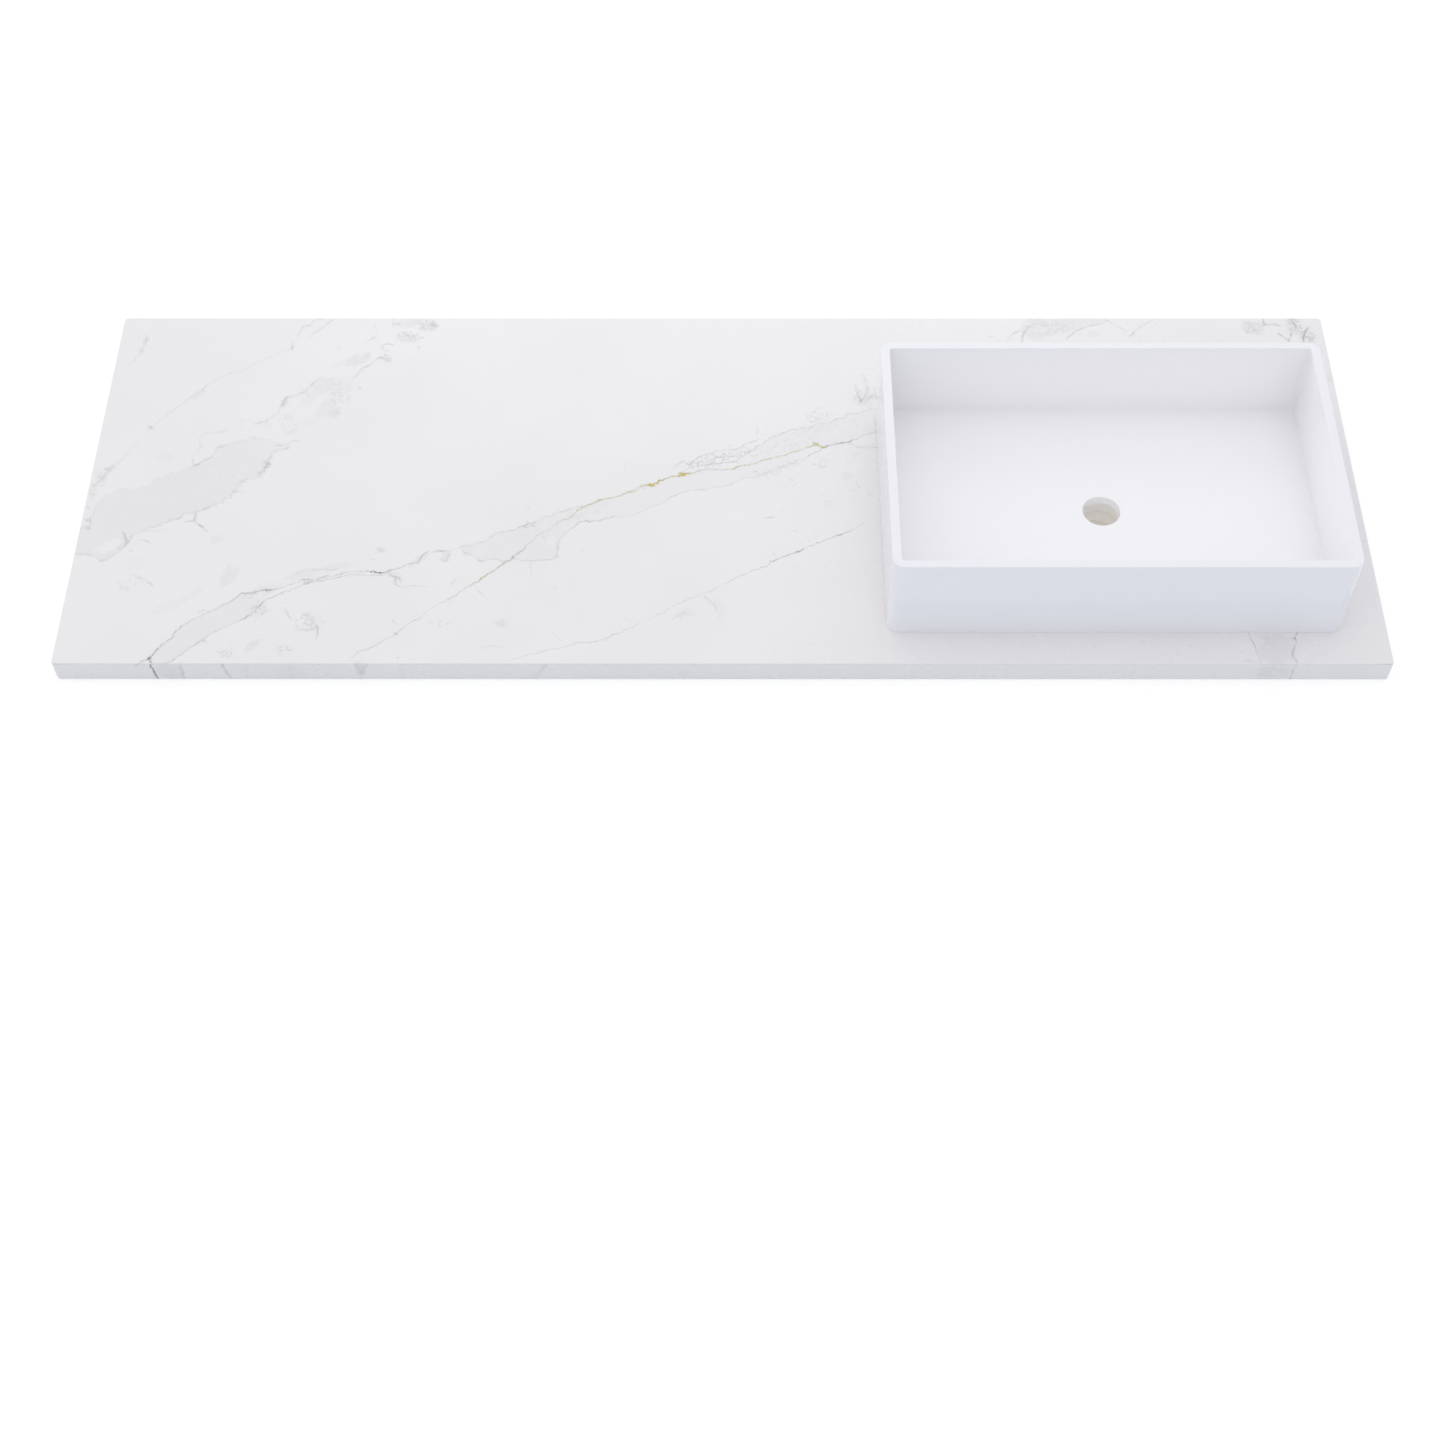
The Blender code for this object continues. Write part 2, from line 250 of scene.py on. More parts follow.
class Finish(Nodes):
    """A procedural material. Its constant values are set on the shader's own sockets."""

    def __init__(self, name, **constants):
        self.material = bpy.data.materials.new(name)
        self.material.use_nodes = True
        super().__init__(self.material.node_tree)
        self.shader = self.tree.nodes["Principled BSDF"]
        self.set(**constants)

    def set(self, **values):
        """Feed the shader's sockets, named in small letters with underscores."""
        sockets = {socket.name.lower().replace(" ", "_"): socket for socket in self.shader.inputs}
        for name, value in values.items():
            self.feed(sockets[name], value)

    def place(self):
        """Where a point lies in the frame."""
        return self.add("TexCoord", output="Object")

    def bump(self, height, depth):
        """Small relief: a height from 0 to 1 that stands for a depth in metres."""
        normal = self.add("Bump", None, {"Height": height, "Distance": depth, "Strength": 1.0})
        self.set(normal=normal)


# Veins. Each point is (x, y, strength): millimetres to the right of the middle of the front edge,
# millimetres behind that edge (below it, on the front face), and how dark it is, from 0 to 1.

VEINS = {
    # The hair: from the front edge, left of the middle, up into the sweep
    "hair": (1.5, (
        (-432, 4, .10), (-421, 18, .30), (-407, 23, .25), (-393, 35, .25), (-380, 44, .30),
        (-375, 50, .20), (-364, 61, .20), (-353, 66, .35), (-349, 73, .20), (-336, 86, .20),
        (-322, 95, .35), (-309, 107, .22), (-299, 115, .20), (-286, 125, .16), (-275, 135, .16),
        (-262, 148, .30), (-250, 158, .42), (-243, 165, .40), (-234, 177, .20), (-225, 189, .20),
        (-217, 197, .25), (-207, 202, .20), (-199, 212, .12),
    )),
    "hair_spur_1": (1.2, ((-293, 119, .16), (-288, 108, .16), (-278, 95, .06))),
    "hair_spur_2": (1.2, ((-309, 106, .10), (-318, 93, .14), (-328, 77, .05))),
    "hair_spur_3": (1.3, ((-216, 193, .22), (-210, 177, .10))),
    "hair_spur_4": (1.2, ((-228, 153, .14), (-226, 116, .06))),
    # The thread: from the front edge, near the middle, to the basin
    "thread": (1.4, (
        (-249, 3, .08), (-228, 12, .14), (-204, 19, .18), (-175, 27, .20), (-171, 31, .35),
        (-151, 32, .35), (-138, 36, .20), (-125, 43, .35), (-112, 50, .20), (-96, 60, .16),
        (-75, 72, .16), (-51, 89, .18), (-36, 98, .20), (-14, 107, .18), (1, 118, .18),
        (25, 132, .28), (36, 138, .26), (51, 145, .30), (63, 156, .42), (78, 162, .40),
        (95, 170, .60), (98, 173, .14), (107, 178, .34), (117, 182, .34), (133, 189, .40),
        (151, 198, .40), (162, 204, .32), (171, 212, .22),
    )),
    "thread_branch": (1.2, ((-116, 68, .08), (-109, 64, .14), (-96, 61, .16))),
    "thread_spur": (1.2, ((64, 154, .12), (62, 167, .18))),
    "thread_smear": (2.4, ((-21, 100, .14), (-10, 87, .16), (-7, 79, .12), (-3, 66, .05))),
    # The sweep: loose pieces between its left-hand band and its middle band
    "sweep_hook": (1.8, ((-614, 74, .16), (-607, 80, .20), (-601, 79, .14))),
    "sweep_shelf": (1.5, ((-509, 132, .10), (-493, 140, .18), (-457, 140, .16))),
    "sweep_split_up": (1.6, ((-398, 137, .32), (-383, 143, .34), (-375, 147, .28))),
    "sweep_split_down": (2.0, ((-396, 135, .36), (-387, 127, .36), (-387, 117, .32), (-375, 113, .22))),
    "sweep_split_fray": (1.6, ((-393, 131, .26), (-384, 128, .28), (-380, 121, .18))),
    "sweep_fringe": (1.4, ((-375, 113, .20), (-360, 116, .18), (-345, 112, .08))),
    "sweep_bit_1": (1.8, ((-375, 147, .28), (-362, 152, .30), (-358, 162, .30), (-352, 168, .22))),
    "sweep_bit_2": (1.6, ((-346, 166, .22), (-336, 169, .30), (-325, 168, .30))),
    "sweep_bit_3": (1.6, ((-325, 168, .26), (-328, 160, .28), (-330, 151, .22), (-336, 155, .18))),
    "sweep_bit_4": (1.6, ((-322, 170, .22), (-312, 175, .30), (-300, 175, .24))),
    "sweep_bit_5": (1.6, ((-312, 173, .24), (-306, 163, .26), (-299, 160, .22))),
    # The sweep's tail, from the middle to the basin
    "tail_lace": (1.6, (
        (-62, 297, .16), (-49, 313, .26), (-41, 304, .28), (-30, 319, .28), (-20, 322, .22),
        (-17, 311, .24), (-7, 318, .34), (4, 318, .44), (14, 320, .32), (25, 319, .18),
    )),
    "tail_lace_low": (1.5, (
        (-50, 294, .20), (-36, 303, .24), (-24, 305, .28), (-12, 306, .26), (2, 309, .28),
        (16, 312, .22), (28, 322, .26), (36, 331, .22),
    )),
    "tail_lace_high": (1.4, (
        (-22, 322, .14), (-8, 327, .18), (6, 331, .22), (16, 330, .20), (30, 341, .30),
        (44, 347, .24),
    )),
    "tail_bridge": (1.6, ((-40, 291, .10), (-25, 297, .24), (-14, 299, .32), (1, 297, .26), (14, 298, .10))),
    "tail_dark": (2.0, (
        (101, 317, .24), (112, 324, .30), (124, 332, .38), (130, 337, .42), (141, 340, .60),
        (157, 343, .42), (167, 350, .34), (180, 356, .34), (194, 361, .34),
    )),
    "tail_branch": (1.6, ((157, 341, .26), (167, 335, .30), (183, 334, .26), (192, 332, .22))),
    "tail_tick": (1.4, ((43, 356, .10), (44, 362, .20), (43, 369, .12))),
    "tail_dash_1": (1.6, ((50, 220, .12), (57, 221, .26), (64, 221, .14))),
    "tail_dash_2": (1.6, ((160, 322, .18), (166, 325, .14))),
    "tail_dash_3": (1.4, ((164, 279, .08), (165, 272, .18), (168, 268, .10))),
    "tail_dash_4": (1.4, ((178, 262, .08), (181, 255, .16))),
    "tail_curl": (1.6, ((-242, 238, .16), (-238, 241, .20), (-234, 236, .20), (-238, 230, .14))),
    "tail_wisp": (1.6, ((-118, 312, .06), (-120, 300, .10), (-118, 290, .06))),
    "tail_spine_1": (2.4, ((168, 442, .08), (171, 425, .28), (174, 410, .32))),
    "tail_spine_2": (2.6, ((174, 410, .30), (185, 431, .28), (178, 458, .06))),
    "tail_spine_3": (2.4, ((181, 412, .30), (190, 423, .28), (192, 436, .10))),
    "tail_spine_4": (2.2, ((192, 436, .10), (194, 418, .26), (196, 408, .30))),
    "tail_stub": (1.6, ((164, 381, .16), (168, 367, .10))),
    # The cloud's runners, at the left-hand end
    "cloud_twig_1": (2.6, ((-722, 198, .18), (-713, 182, .28), (-720, 168, .24), (-729, 161, .18))),
    "cloud_twig_2": (2.2, ((-701, 187, .16), (-693, 186, .20), (-686, 181, .14))),
    "cloud_twig_3": (2.8, ((-639, 229, .22), (-638, 215, .32), (-629, 208, .34), (-620, 199, .14))),
    "cloud_twig_4": (1.8, ((-649, 213, .16), (-642, 215, .22), (-637, 214, .24))),
    "cloud_twig_5": (1.8, ((-629, 198, .12), (-624, 191, .12))),
    "cloud_rim": (2.2, ((-650, 303, .26), (-640, 312, .34), (-631, 319, .14))),
    "cloud_rim_spur": (1.6, ((-656, 320, .10), (-650, 303, .20))),
    "cloud_thin": (1.8, ((-702, 192, .10), (-688, 199, .14), (-670, 203, .08))),
    # Its broken course on to the back edge
    "cloud_fringe": (2.4, ((-650, 350, .08), (-642, 357, .12), (-628, 360, .12), (-618, 363, .07))),
    "cloud_fringe_low": (2.6, ((-650, 344, .07), (-645, 335, .12), (-650, 326, .06))),
    "cloud_spike_1": (2.2, ((-552, 336, .16), (-540, 341, .22), (-528, 347, .10))),
    "cloud_spike_2": (2.0, ((-556, 326, .16), (-545, 331, .20), (-536, 334, .08))),
    "cloud_course": (3.2, (
        (-585, 373, .14), (-572, 377, .20), (-564, 385, .18), (-557, 392, .14), (-554, 405, .22),
        (-550, 418, .26), (-535, 423, .18), (-526, 430, .20), (-520, 442, .18), (-507, 453, .14),
    )),
    "cloud_course_twig": (1.8, ((-533, 434, .06), (-527, 427, .14), (-523, 422, .08))),
    "cloud_chain": (2.2, (
        (-470, 451, .14), (-463, 459, .18), (-460, 468, .22), (-454, 472, .22), (-446, 478, .16),
        (-441, 486, .24), (-433, 489, .26), (-426, 481, .20),
    )),
    "cloud_crook": (1.6, ((-460, 510, .10), (-456, 519, .12), (-447, 524, .14), (-441, 518, .10))),
    "cloud_ring": (2.2, ((-437, 504, .20), (-434, 512, .26), (-424, 511, .26))),
    "cloud_ring_low": (1.8, ((-437, 506, .16), (-433, 500, .20), (-427, 499, .12))),
    "cloud_wisp": (1.3, ((-449, 546, .10), (-446, 536, .12), (-443, 526, .08))),
    "cloud_post": (2.4, ((-428, 558, .24), (-426, 548, .20), (-424, 541, .08))),
    # The trickle, in the left-hand back corner
    "trickle": (2.2, (
        (-713, 367, .10), (-704, 378, .08), (-691, 394, .10), (-680, 405, .14), (-672, 417, .10),
        (-659, 426, .20), (-655, 436, .16), (-649, 444, .12), (-638, 451, .20), (-625, 460, .10),
        (-612, 468, .05),
    )),
    "trickle_on": (2.2, (
        (-619, 457, .06), (-601, 472, .10), (-591, 481, .07), (-575, 492, .07), (-554, 503, .08),
    )),
    "trickle_knot": (2.4, ((-553, 515, .12), (-552, 508, .36), (-551, 501, .22))),
    "trickle_end_1": (2.0, (
        (-548, 524, .14), (-542, 540, .24), (-533, 546, .26), (-528, 555, .18), (-512, 560, .12),
    )),
    "trickle_end_2": (2.0, ((-533, 523, .08), (-523, 536, .20), (-514, 545, .20), (-501, 560, .12))),
    "trickle_back": (3.6, (
        (-725, 344, .04), (-741, 315, .08), (-754, 297, .14), (-759, 284, .14), (-768, 272, .10),
    )),
    "far_left_streak": (2.2, ((-743, 527, .10), (-741, 519, .20), (-745, 498, .16), (-755, 477, .08))),
    # Behind the basin
    "shelf_left": (2.0, ((396, 541, .22), (386, 528, .30), (385, 515, .24))),
    "shelf_right": (1.8, (
        (499, 554, .22), (484, 547, .26), (470, 543, .26), (457, 536, .38), (443, 522, .34),
    )),
    "shelf_line_1": (1.6, ((366, 517, .14), (375, 531, .22), (397, 544, .20))),
    "shelf_line_2": (1.8, ((496, 557, .24), (504, 549, .26), (514, 542, .28), (520, 534, .14))),
    "shelf_line_3": (1.8, ((525, 527, .30), (535, 538, .18), (557, 556, .18))),
    "shelf_line_4": (1.8, ((701, 558, .30), (700, 545, .40), (712, 547, .26), (720, 544, .18))),
    "shelf_line_5": (2.4, ((735, 558, .42), (740, 541, .48), (733, 529, .40), (727, 516, .34))),
    "shelf_line_6": (2.0, ((716, 531, .30), (722, 524, .34), (728, 516, .30))),
    "shelf_line_7": (2.4, ((756, 540, .34), (749, 530, .46), (746, 516, .40))),
    "shelf_line_8": (2.0, ((764, 527, .34), (757, 520, .30), (752, 514, .24))),
    "shelf_line_9": (1.8, ((742, 536, .26), (752, 524, .34), (760, 515, .24))),
    # In front of the basin and down the front face
    "front_left": (1.7, ((613, 45, .42), (614, 38, .36), (615, 31, .26), (620, 14, .20), (622, 1, .18))),
    "front_right": (2.0, (
        (671, 46, .45), (664, 40, .38), (667, 31, .42), (662, 24, .34), (660, 11, .32), (663, 1, .34),
    )),
    "front_dash": (1.6, ((604, 4, .12), (617, 3, .16))),
    "face_right": (2.4, ((661, -1, .32), (660, -30, .26))),
    "face_far_left": (1.7, ((-659, -1, .75), (-658, -16, .95), (-657, -30, 1))),
    "face_left_edge": (3.2, ((-625, -1, .34), (-626, -30, .26))),
    "face_streak_1": (3.0, ((-577, -1, .24), (-571, -30, .16))),
    "face_streak_2": (2.0, ((-550, -1, .08), (-553, -30, .06))),
    "face_streak_3": (3.0, ((-500, -1, .06), (-500, -30, .04))),
    "face_streak_4": (3.0, ((-370, -1, .08), (-371, -30, .05))),
    "face_streak_5": (3.2, ((-203, -1, .16), (-221, -30, .12))),
    "face_streak_6": (2.6, ((-424, -1, .16), (-418, -14, .16), (-420, -30, .06))),
    "face_streak_7": (2.4, ((-410, -1, .14), (-417, -16, .10))),
    # Specks and squiggles on their own
    "loop": (2.6, ((-491, 73, .16), (-484, 70, .24), (-478, 60, .20), (-471, 53, .24), (-472, 37, .18))),
    "loop_left": (2.4, ((-497, 57, .14), (-494, 50, .20), (-483, 49, .18), (-474, 52, .20))),
    "loop_mid": (2.2, ((-485, 68, .14), (-489, 60, .16), (-481, 56, .18))),
    "tick_1": (2.0, ((-513, 81, .12), (-509, 72, .18), (-505, 66, .16))),
    "tick_2": (2.4, ((-701, 132, .10), (-688, 126, .18), (-674, 116, .18))),
    "tick_3": (2.4, ((-714, 119, .12), (-708, 112, .16), (-701, 108, .12))),
    "tick_4": (2.2, ((-203, 48, .06), (-195, 41, .10), (-188, 35, .08))),
    "tick_5": (1.6, ((-388, 68, .12), (-384, 62, .14), (-380, 58, .08))),
    "tick_6": (3.0, ((-67, 60, .06), (-45, 74, .10), (-33, 72, .08))),
    "tick_7": (3.0, ((-283, 22, .08), (-268, 26, .10), (-254, 24, .08))),
    "tick_8": (2.2, ((-578, 10, .12), (-572, 18, .14), (-566, 8, .10))),
}

GOLD_VEINS = {
    "hair_gold": (1.6, (
        (-303, 112, .10), (-286, 125, .40), (-275, 135, .45), (-262, 148, .40), (-246, 162, .12),
    )),
    "gold_run": (1.9, (
        (-200, 211, .15), (-182, 223, .42), (-178, 229, .42), (-166, 239, .40), (-149, 248, .45),
        (-136, 252, .62), (-120, 258, .50), (-103, 265, .30), (-99, 272, .45), (-86, 273, .95),
        (-78, 279, .62), (-64, 285, .55), (-51, 289, 1.0), (-44, 291, .80), (-36, 292, .38),
        (-25, 297, .14), (-14, 299, .10), (1, 297, .14), (12, 297, .22), (20, 303, .50),
        (38, 307, .55), (49, 313, .50), (64, 317, .35), (78, 321, .40), (88, 327, .50),
        (101, 332, .45), (112, 338, .50), (117, 338, .55), (124, 333, .85), (129, 336, .30),
    )),
}

# Bands: radius of the edge lines, how ragged they are, the two edges, and how full the band is
BANDS = {
    "sweep_left": (
        1.7, 2,
        (
            (-676, -4, .24), (-670, 2, .38), (-662, 8, .90), (-656, 18, .42), (-651, 27, .34),
            (-641, 37, .42), (-630, 56, .26), (-617, 66, .22), (-601, 77, .26), (-591, 83, .26),
            (-579, 91, .35), (-567, 103, .42), (-557, 105, .40), (-538, 109, .75), (-522, 111, .45),
            (-509, 118, .30), (-499, 123, .50), (-483, 124, .50), (-478, 127, .35),
            (-457, 132, .40), (-443, 137, .35), (-432, 137, .12), (-425, 137, .35),
            (-407, 135, 1.0), (-399, 136, .70), (-393, 137, .30),
        ),
        (
            (-650, -5, .05), (-641, 2, .20), (-628, 11, .26), (-617, 24, .28), (-607, 32, .28),
            (-593, 45, .20), (-580, 53, .20), (-565, 62, .26), (-551, 74, .50), (-543, 86, .42),
            (-536, 94, .28), (-525, 102, .26), (-512, 108, .32), (-499, 114, .30), (-486, 122, .45),
            (-459, 127, .32), (-438, 132, .30), (-420, 132, .20), (-400, 131, .30),
        ),
        ((-675, 0, 0), (-658, 8, .8), (-560, 80, .8), (-540, 98, .5), (-520, 106, 0)),
    ),
    "sweep_middle": (
        1.6, 2.4,
        (
            (-299, 181, .14), (-286, 183, .18), (-275, 193, .20), (-262, 198, .22), (-249, 202, .20),
            (-241, 208, .30), (-230, 211, .30), (-220, 219, .26), (-207, 225, .22), (-191, 232, .20),
            (-178, 237, .22), (-166, 240, .22), (-149, 248, .12), (-120, 258, .10), (-101, 270, .20),
            (-86, 274, .30), (-64, 285, .12), (-49, 290, .30), (-25, 297, .14), (1, 297, .16),
            (12, 297, .12), (25, 304, 0), (64, 317, 0), (101, 332, 0), (114, 336, 0),
        ),
        (
            (-299, 161, .18), (-293, 154, .22), (-283, 154, .20), (-272, 157, .20), (-262, 151, .20),
            (-249, 156, .20), (-236, 153, .20), (-220, 154, .22), (-204, 155, .24), (-197, 160, .26),
            (-198, 170, .24), (-194, 188, .22), (-188, 198, .24), (-178, 208, .26), (-170, 214, .30),
            (-157, 215, .45), (-147, 216, .28), (-138, 221, .22), (-122, 221, .18), (-109, 224, .18),
            (-91, 235, .18), (-75, 243, .18), (-64, 252, .20), (-51, 260, .18), (-36, 265, .18),
            (-20, 264, .18), (-7, 269, .18), (4, 270, .16), (17, 278, .16), (25, 285, .16),
            (38, 285, .20), (49, 291, .22), (68, 296, .22), (80, 306, .22), (91, 311, .24),
            (101, 317, .24), (112, 324, .26),
        ),
        (
            (-308, 170, 0), (-300, 168, .7), (-250, 180, .75), (-180, 222, .6), (-120, 240, .4),
            (-50, 275, .42), (25, 296, .35), (70, 308, .4), (112, 328, 0),
        ),
    ),
    "tail": (
        1.5, 3,
        (
            (8, 326, .10), (25, 334, .20), (36, 331, .22), (49, 339, .22), (60, 350, .22),
            (72, 357, .30), (88, 363, .20), (101, 368, .22), (109, 367, .18), (120, 375, .22),
            (130, 374, .18), (138, 380, .22), (151, 383, .20), (157, 390, .24), (167, 390, .20),
            (178, 395, .30), (188, 400, .24), (203, 397, .22),
        ),
        (
            (12, 306, 0), (38, 309, 0), (64, 319, 0), (88, 329, 0), (112, 340, 0), (125, 334, 0),
            (141, 340, 0), (167, 350, 0), (192, 360, 0), (210, 366, 0),
        ),
        ((10, 314, 0), (30, 322, .3), (80, 342, .38), (140, 360, .45), (205, 380, .45)),
    ),
    "cloud": (
        2.4, 5,
        (
            (-815, 185, .10), (-775, 203, .14), (-764, 205, .26), (-761, 237, .10), (-749, 256, .06),
            (-733, 266, .04), (-714, 265, .04), (-699, 274, .04), (-688, 288, .05), (-670, 294, .06),
            (-651, 301, .20), (-633, 317, .14), (-622, 337, .12), (-607, 343, .10), (-591, 347, .10),
            (-578, 350, .08), (-564, 347, .06), (-552, 341, .06), (-540, 338, .08), (-528, 347, .06),
        ),
        (
            (-815, 163, .10), (-775, 162, .18), (-764, 163, .22), (-751, 161, .20), (-742, 154, .20),
            (-732, 157, .22), (-725, 168, .14), (-714, 183, .30), (-707, 195, .22), (-688, 203, .18),
            (-675, 212, .20), (-659, 218, .34), (-651, 228, .18), (-638, 229, .18), (-625, 236, .22),
            (-614, 243, .14), (-600, 252, .10), (-595, 264, .22), (-590, 277, .18), (-585, 281, .26),
            (-566, 287, .16), (-560, 307, .32), (-557, 323, .18), (-541, 332, .18), (-528, 346, .12),
        ),
        (
            (-815, 175, .7), (-760, 190, .75), (-730, 210, .85), (-650, 260, .95),
            (-580, 320, .9), (-556, 330, .65), (-540, 336, .35), (-526, 346, 0),
        ),
    ),
}

# Soft patches: place, half length, half width, turn in degrees and strength
PATCHES = (
    (-585, 128, 18, 9, 60, .60), (-590, 133, 20, 4, 75, .5), (-580, 132, 18, 4, 60, .5),
    (-607, 187, 8, 7, 0, .55), (-688, 317, 12, 9, 0, .40), (-505, 437, 22, 12, 45, .60),
    (-520, 418, 16, 9, 60, .50), (-497, 402, 24, 10, 60, .60), (-487, 392, 13, 9, 60, .85),
    (-484, 432, 20, 13, 45, .45), (-515, 378, 16, 7, 30, .30), (-480, 447, 10, 8, 0, .35),
    (-466, 484, 20, 10, 30, .85), (-455, 491, 7, 6, 30, 1.3), (-491, 474, 12, 6, 30, .35),
    (-400, 550, 22, 9, 0, .80), (-381, 545, 15, 12, 0, 1.1), (-405, 523, 17, 9, -15, .85),
    (-414, 548, 7, 11, 0, .50), (-551, 411, 6, 11, 0, 1.4), (-545, 386, 9, 8, 0, .45),
    (-567, 370, 7, 6, 0, .35), (-538, 360, 9, 5, 15, .65), (-562, 308, 8, 12, 0, 1.2),
    (-662, 424, 14, 7, 45, .55), (-742, 519, 8, 4, 75, 1.2), (-745, 500, 5, 6, 60, .7),
    (-492, 505, 6, 5, 0, .30), (-650, 85, 30, 8, 30, .30), (-620, 106, 12, 6, 45, .40),
    (-470, 141, 34, 6, 15, .5), (-385, 128, 12, 6, -45, .55), (-500, 132, 24, 7, 15, .5),
    (-535, 112, 22, 8, 15, .45), (-545, 80, 15, 13, 30, .60), (-478, 60, 14, 18, 30, .35),
    (-362, 155, 17, 6, 45, .75), (-330, 160, 7, 11, 0, .75), (-304, 168, 8, 9, 0, .55),
    (442, 545, 40, 13, 15, .75), (405, 537, 22, 20, 15, .75), (470, 552, 28, 7, 15, .60),
    (477, 529, 9, 8, 0, .50), (408, 553, 18, 5, 0, 1.0), (685, 542, 17, 15, 0, .8),
    (738, 546, 11, 15, 0, 1.2), (752, 528, 12, 14, 0, .7), (641, 22, 24, 26, 0, .85),
    (182, 414, 17, 12, 0, .40), (153, 288, 9, 8, 0, .50), (128, 243, 8, 7, 0, .35),
    (770, 452, 4, 8, 0, .7), (-640, -15, 16, 17, 0, .80), (637, -15, 23, 17, 0, .85),
    (-418, -8, 8, 15, 0, 1.1), (-502, -15, 20, 17, 0, .25), (-545, 27, 15, 5, 45, .85),
    (-700, 150, 20, 14, 30, .15), (-230, 210, 8, 5, 15, .9), (-257, 60, 10, 6, 15, .55),
    (-762, 286, 8, 14, 15, .55), (-768, 262, 6, 14, 0, .50), (-752, 300, 7, 6, 15, .60),
    (-45, 74, 12, 6, 15, .45), (-4, 85, 6, 16, 15, .35),
)

# Lace: patches that show as a fine net
LACE_PATCHES = (
    (-230, 210, 12, 6, 15, .30), (0, 316, 54, 12, 15, .36), (-490, 123, 14, 5, 15, .42),
    (-405, 524, 18, 12, 0, .30), (-381, 545, 16, 13, 0, .26), (738, 543, 14, 18, 0, .36),
    (752, 528, 14, 16, 0, .28), (176, 420, 20, 18, 0, .20), (100, 352, 56, 14, 30, .14),
    (420, 541, 36, 16, 0, .18), (686, 542, 17, 15, 0, .24), (-484, 60, 15, 18, 30, .26),
    (-590, 275, 9, 24, 15, .14), (-545, 82, 15, 14, 15, .26), (-548, 104, 22, 7, 15, .26),
    (-482, 425, 16, 30, 15, .16), (-170, 225, 40, 12, 30, .12), (120, 388, 22, 12, 30, .20),
    (72, 300, 36, 7, 30, .20), (-573, 17, 12, 9, 0, .26), (-506, 20, 12, 9, 0, .22),
    (-330, 58, 14, 8, 0, .20), (-313, 122, 12, 8, 30, .16), (122, 307, 10, 11, 0, .24),
    (-430, 487, 9, 9, 0, .26), (-388, 127, 12, 8, -45, .30), (-540, 375, 18, 14, 0, .12),
    (-700, 118, 18, 10, 30, .14),
)

# Patches with small specks in them
SPECK_PATCHES = (
    (-560, 60, 190, 70, 15, .22), (-300, 40, 150, 50, 15, .22), (-120, 40, 130, 55, 15, .22),
    (-640, 470, 90, 60, 45, .16), (-480, 470, 70, 60, 45, .22), (90, 300, 110, 40, 15, .30),
    (-200, 120, 120, 60, 15, .16), (-620, 300, 90, 60, 45, .16),
)

# Patches that the soft fills leave white
BARE_PATCHES = ((-736, 176, 19, 9, 30, 1), (-207, 183, 10, 6, 60, 1), (-528, 104, 12, 3, 30, 1))

GOLD_DOTS = (
    (-86, 273, 4.6, .95), (-80, 276, 3.2, .80), (-96, 267, 2.4, .50), (-49, 290, 5.0, 1.0),
    (-54, 287, 3.4, .85), (-136, 252, 2.6, .60), (-169, 238, 3.0, .50), (-120, 259, 2.4, .50),
    (38, 307, 2.4, .60), (66, 318, 2.6, .60), (118, 340, 2.6, .60), (124, 334, 3.0, .75),
    (-262, 148, 2.4, .45), (-250, 158, 2.6, .50), (-299, 115, 2.4, .40), (114, 341, 2.6, .70),
    (-43, 292, 3.0, .80), (-90, 273, 2.6, .70), (-111, 261, 2.4, .45), (52, 314, 2.2, .50),
)

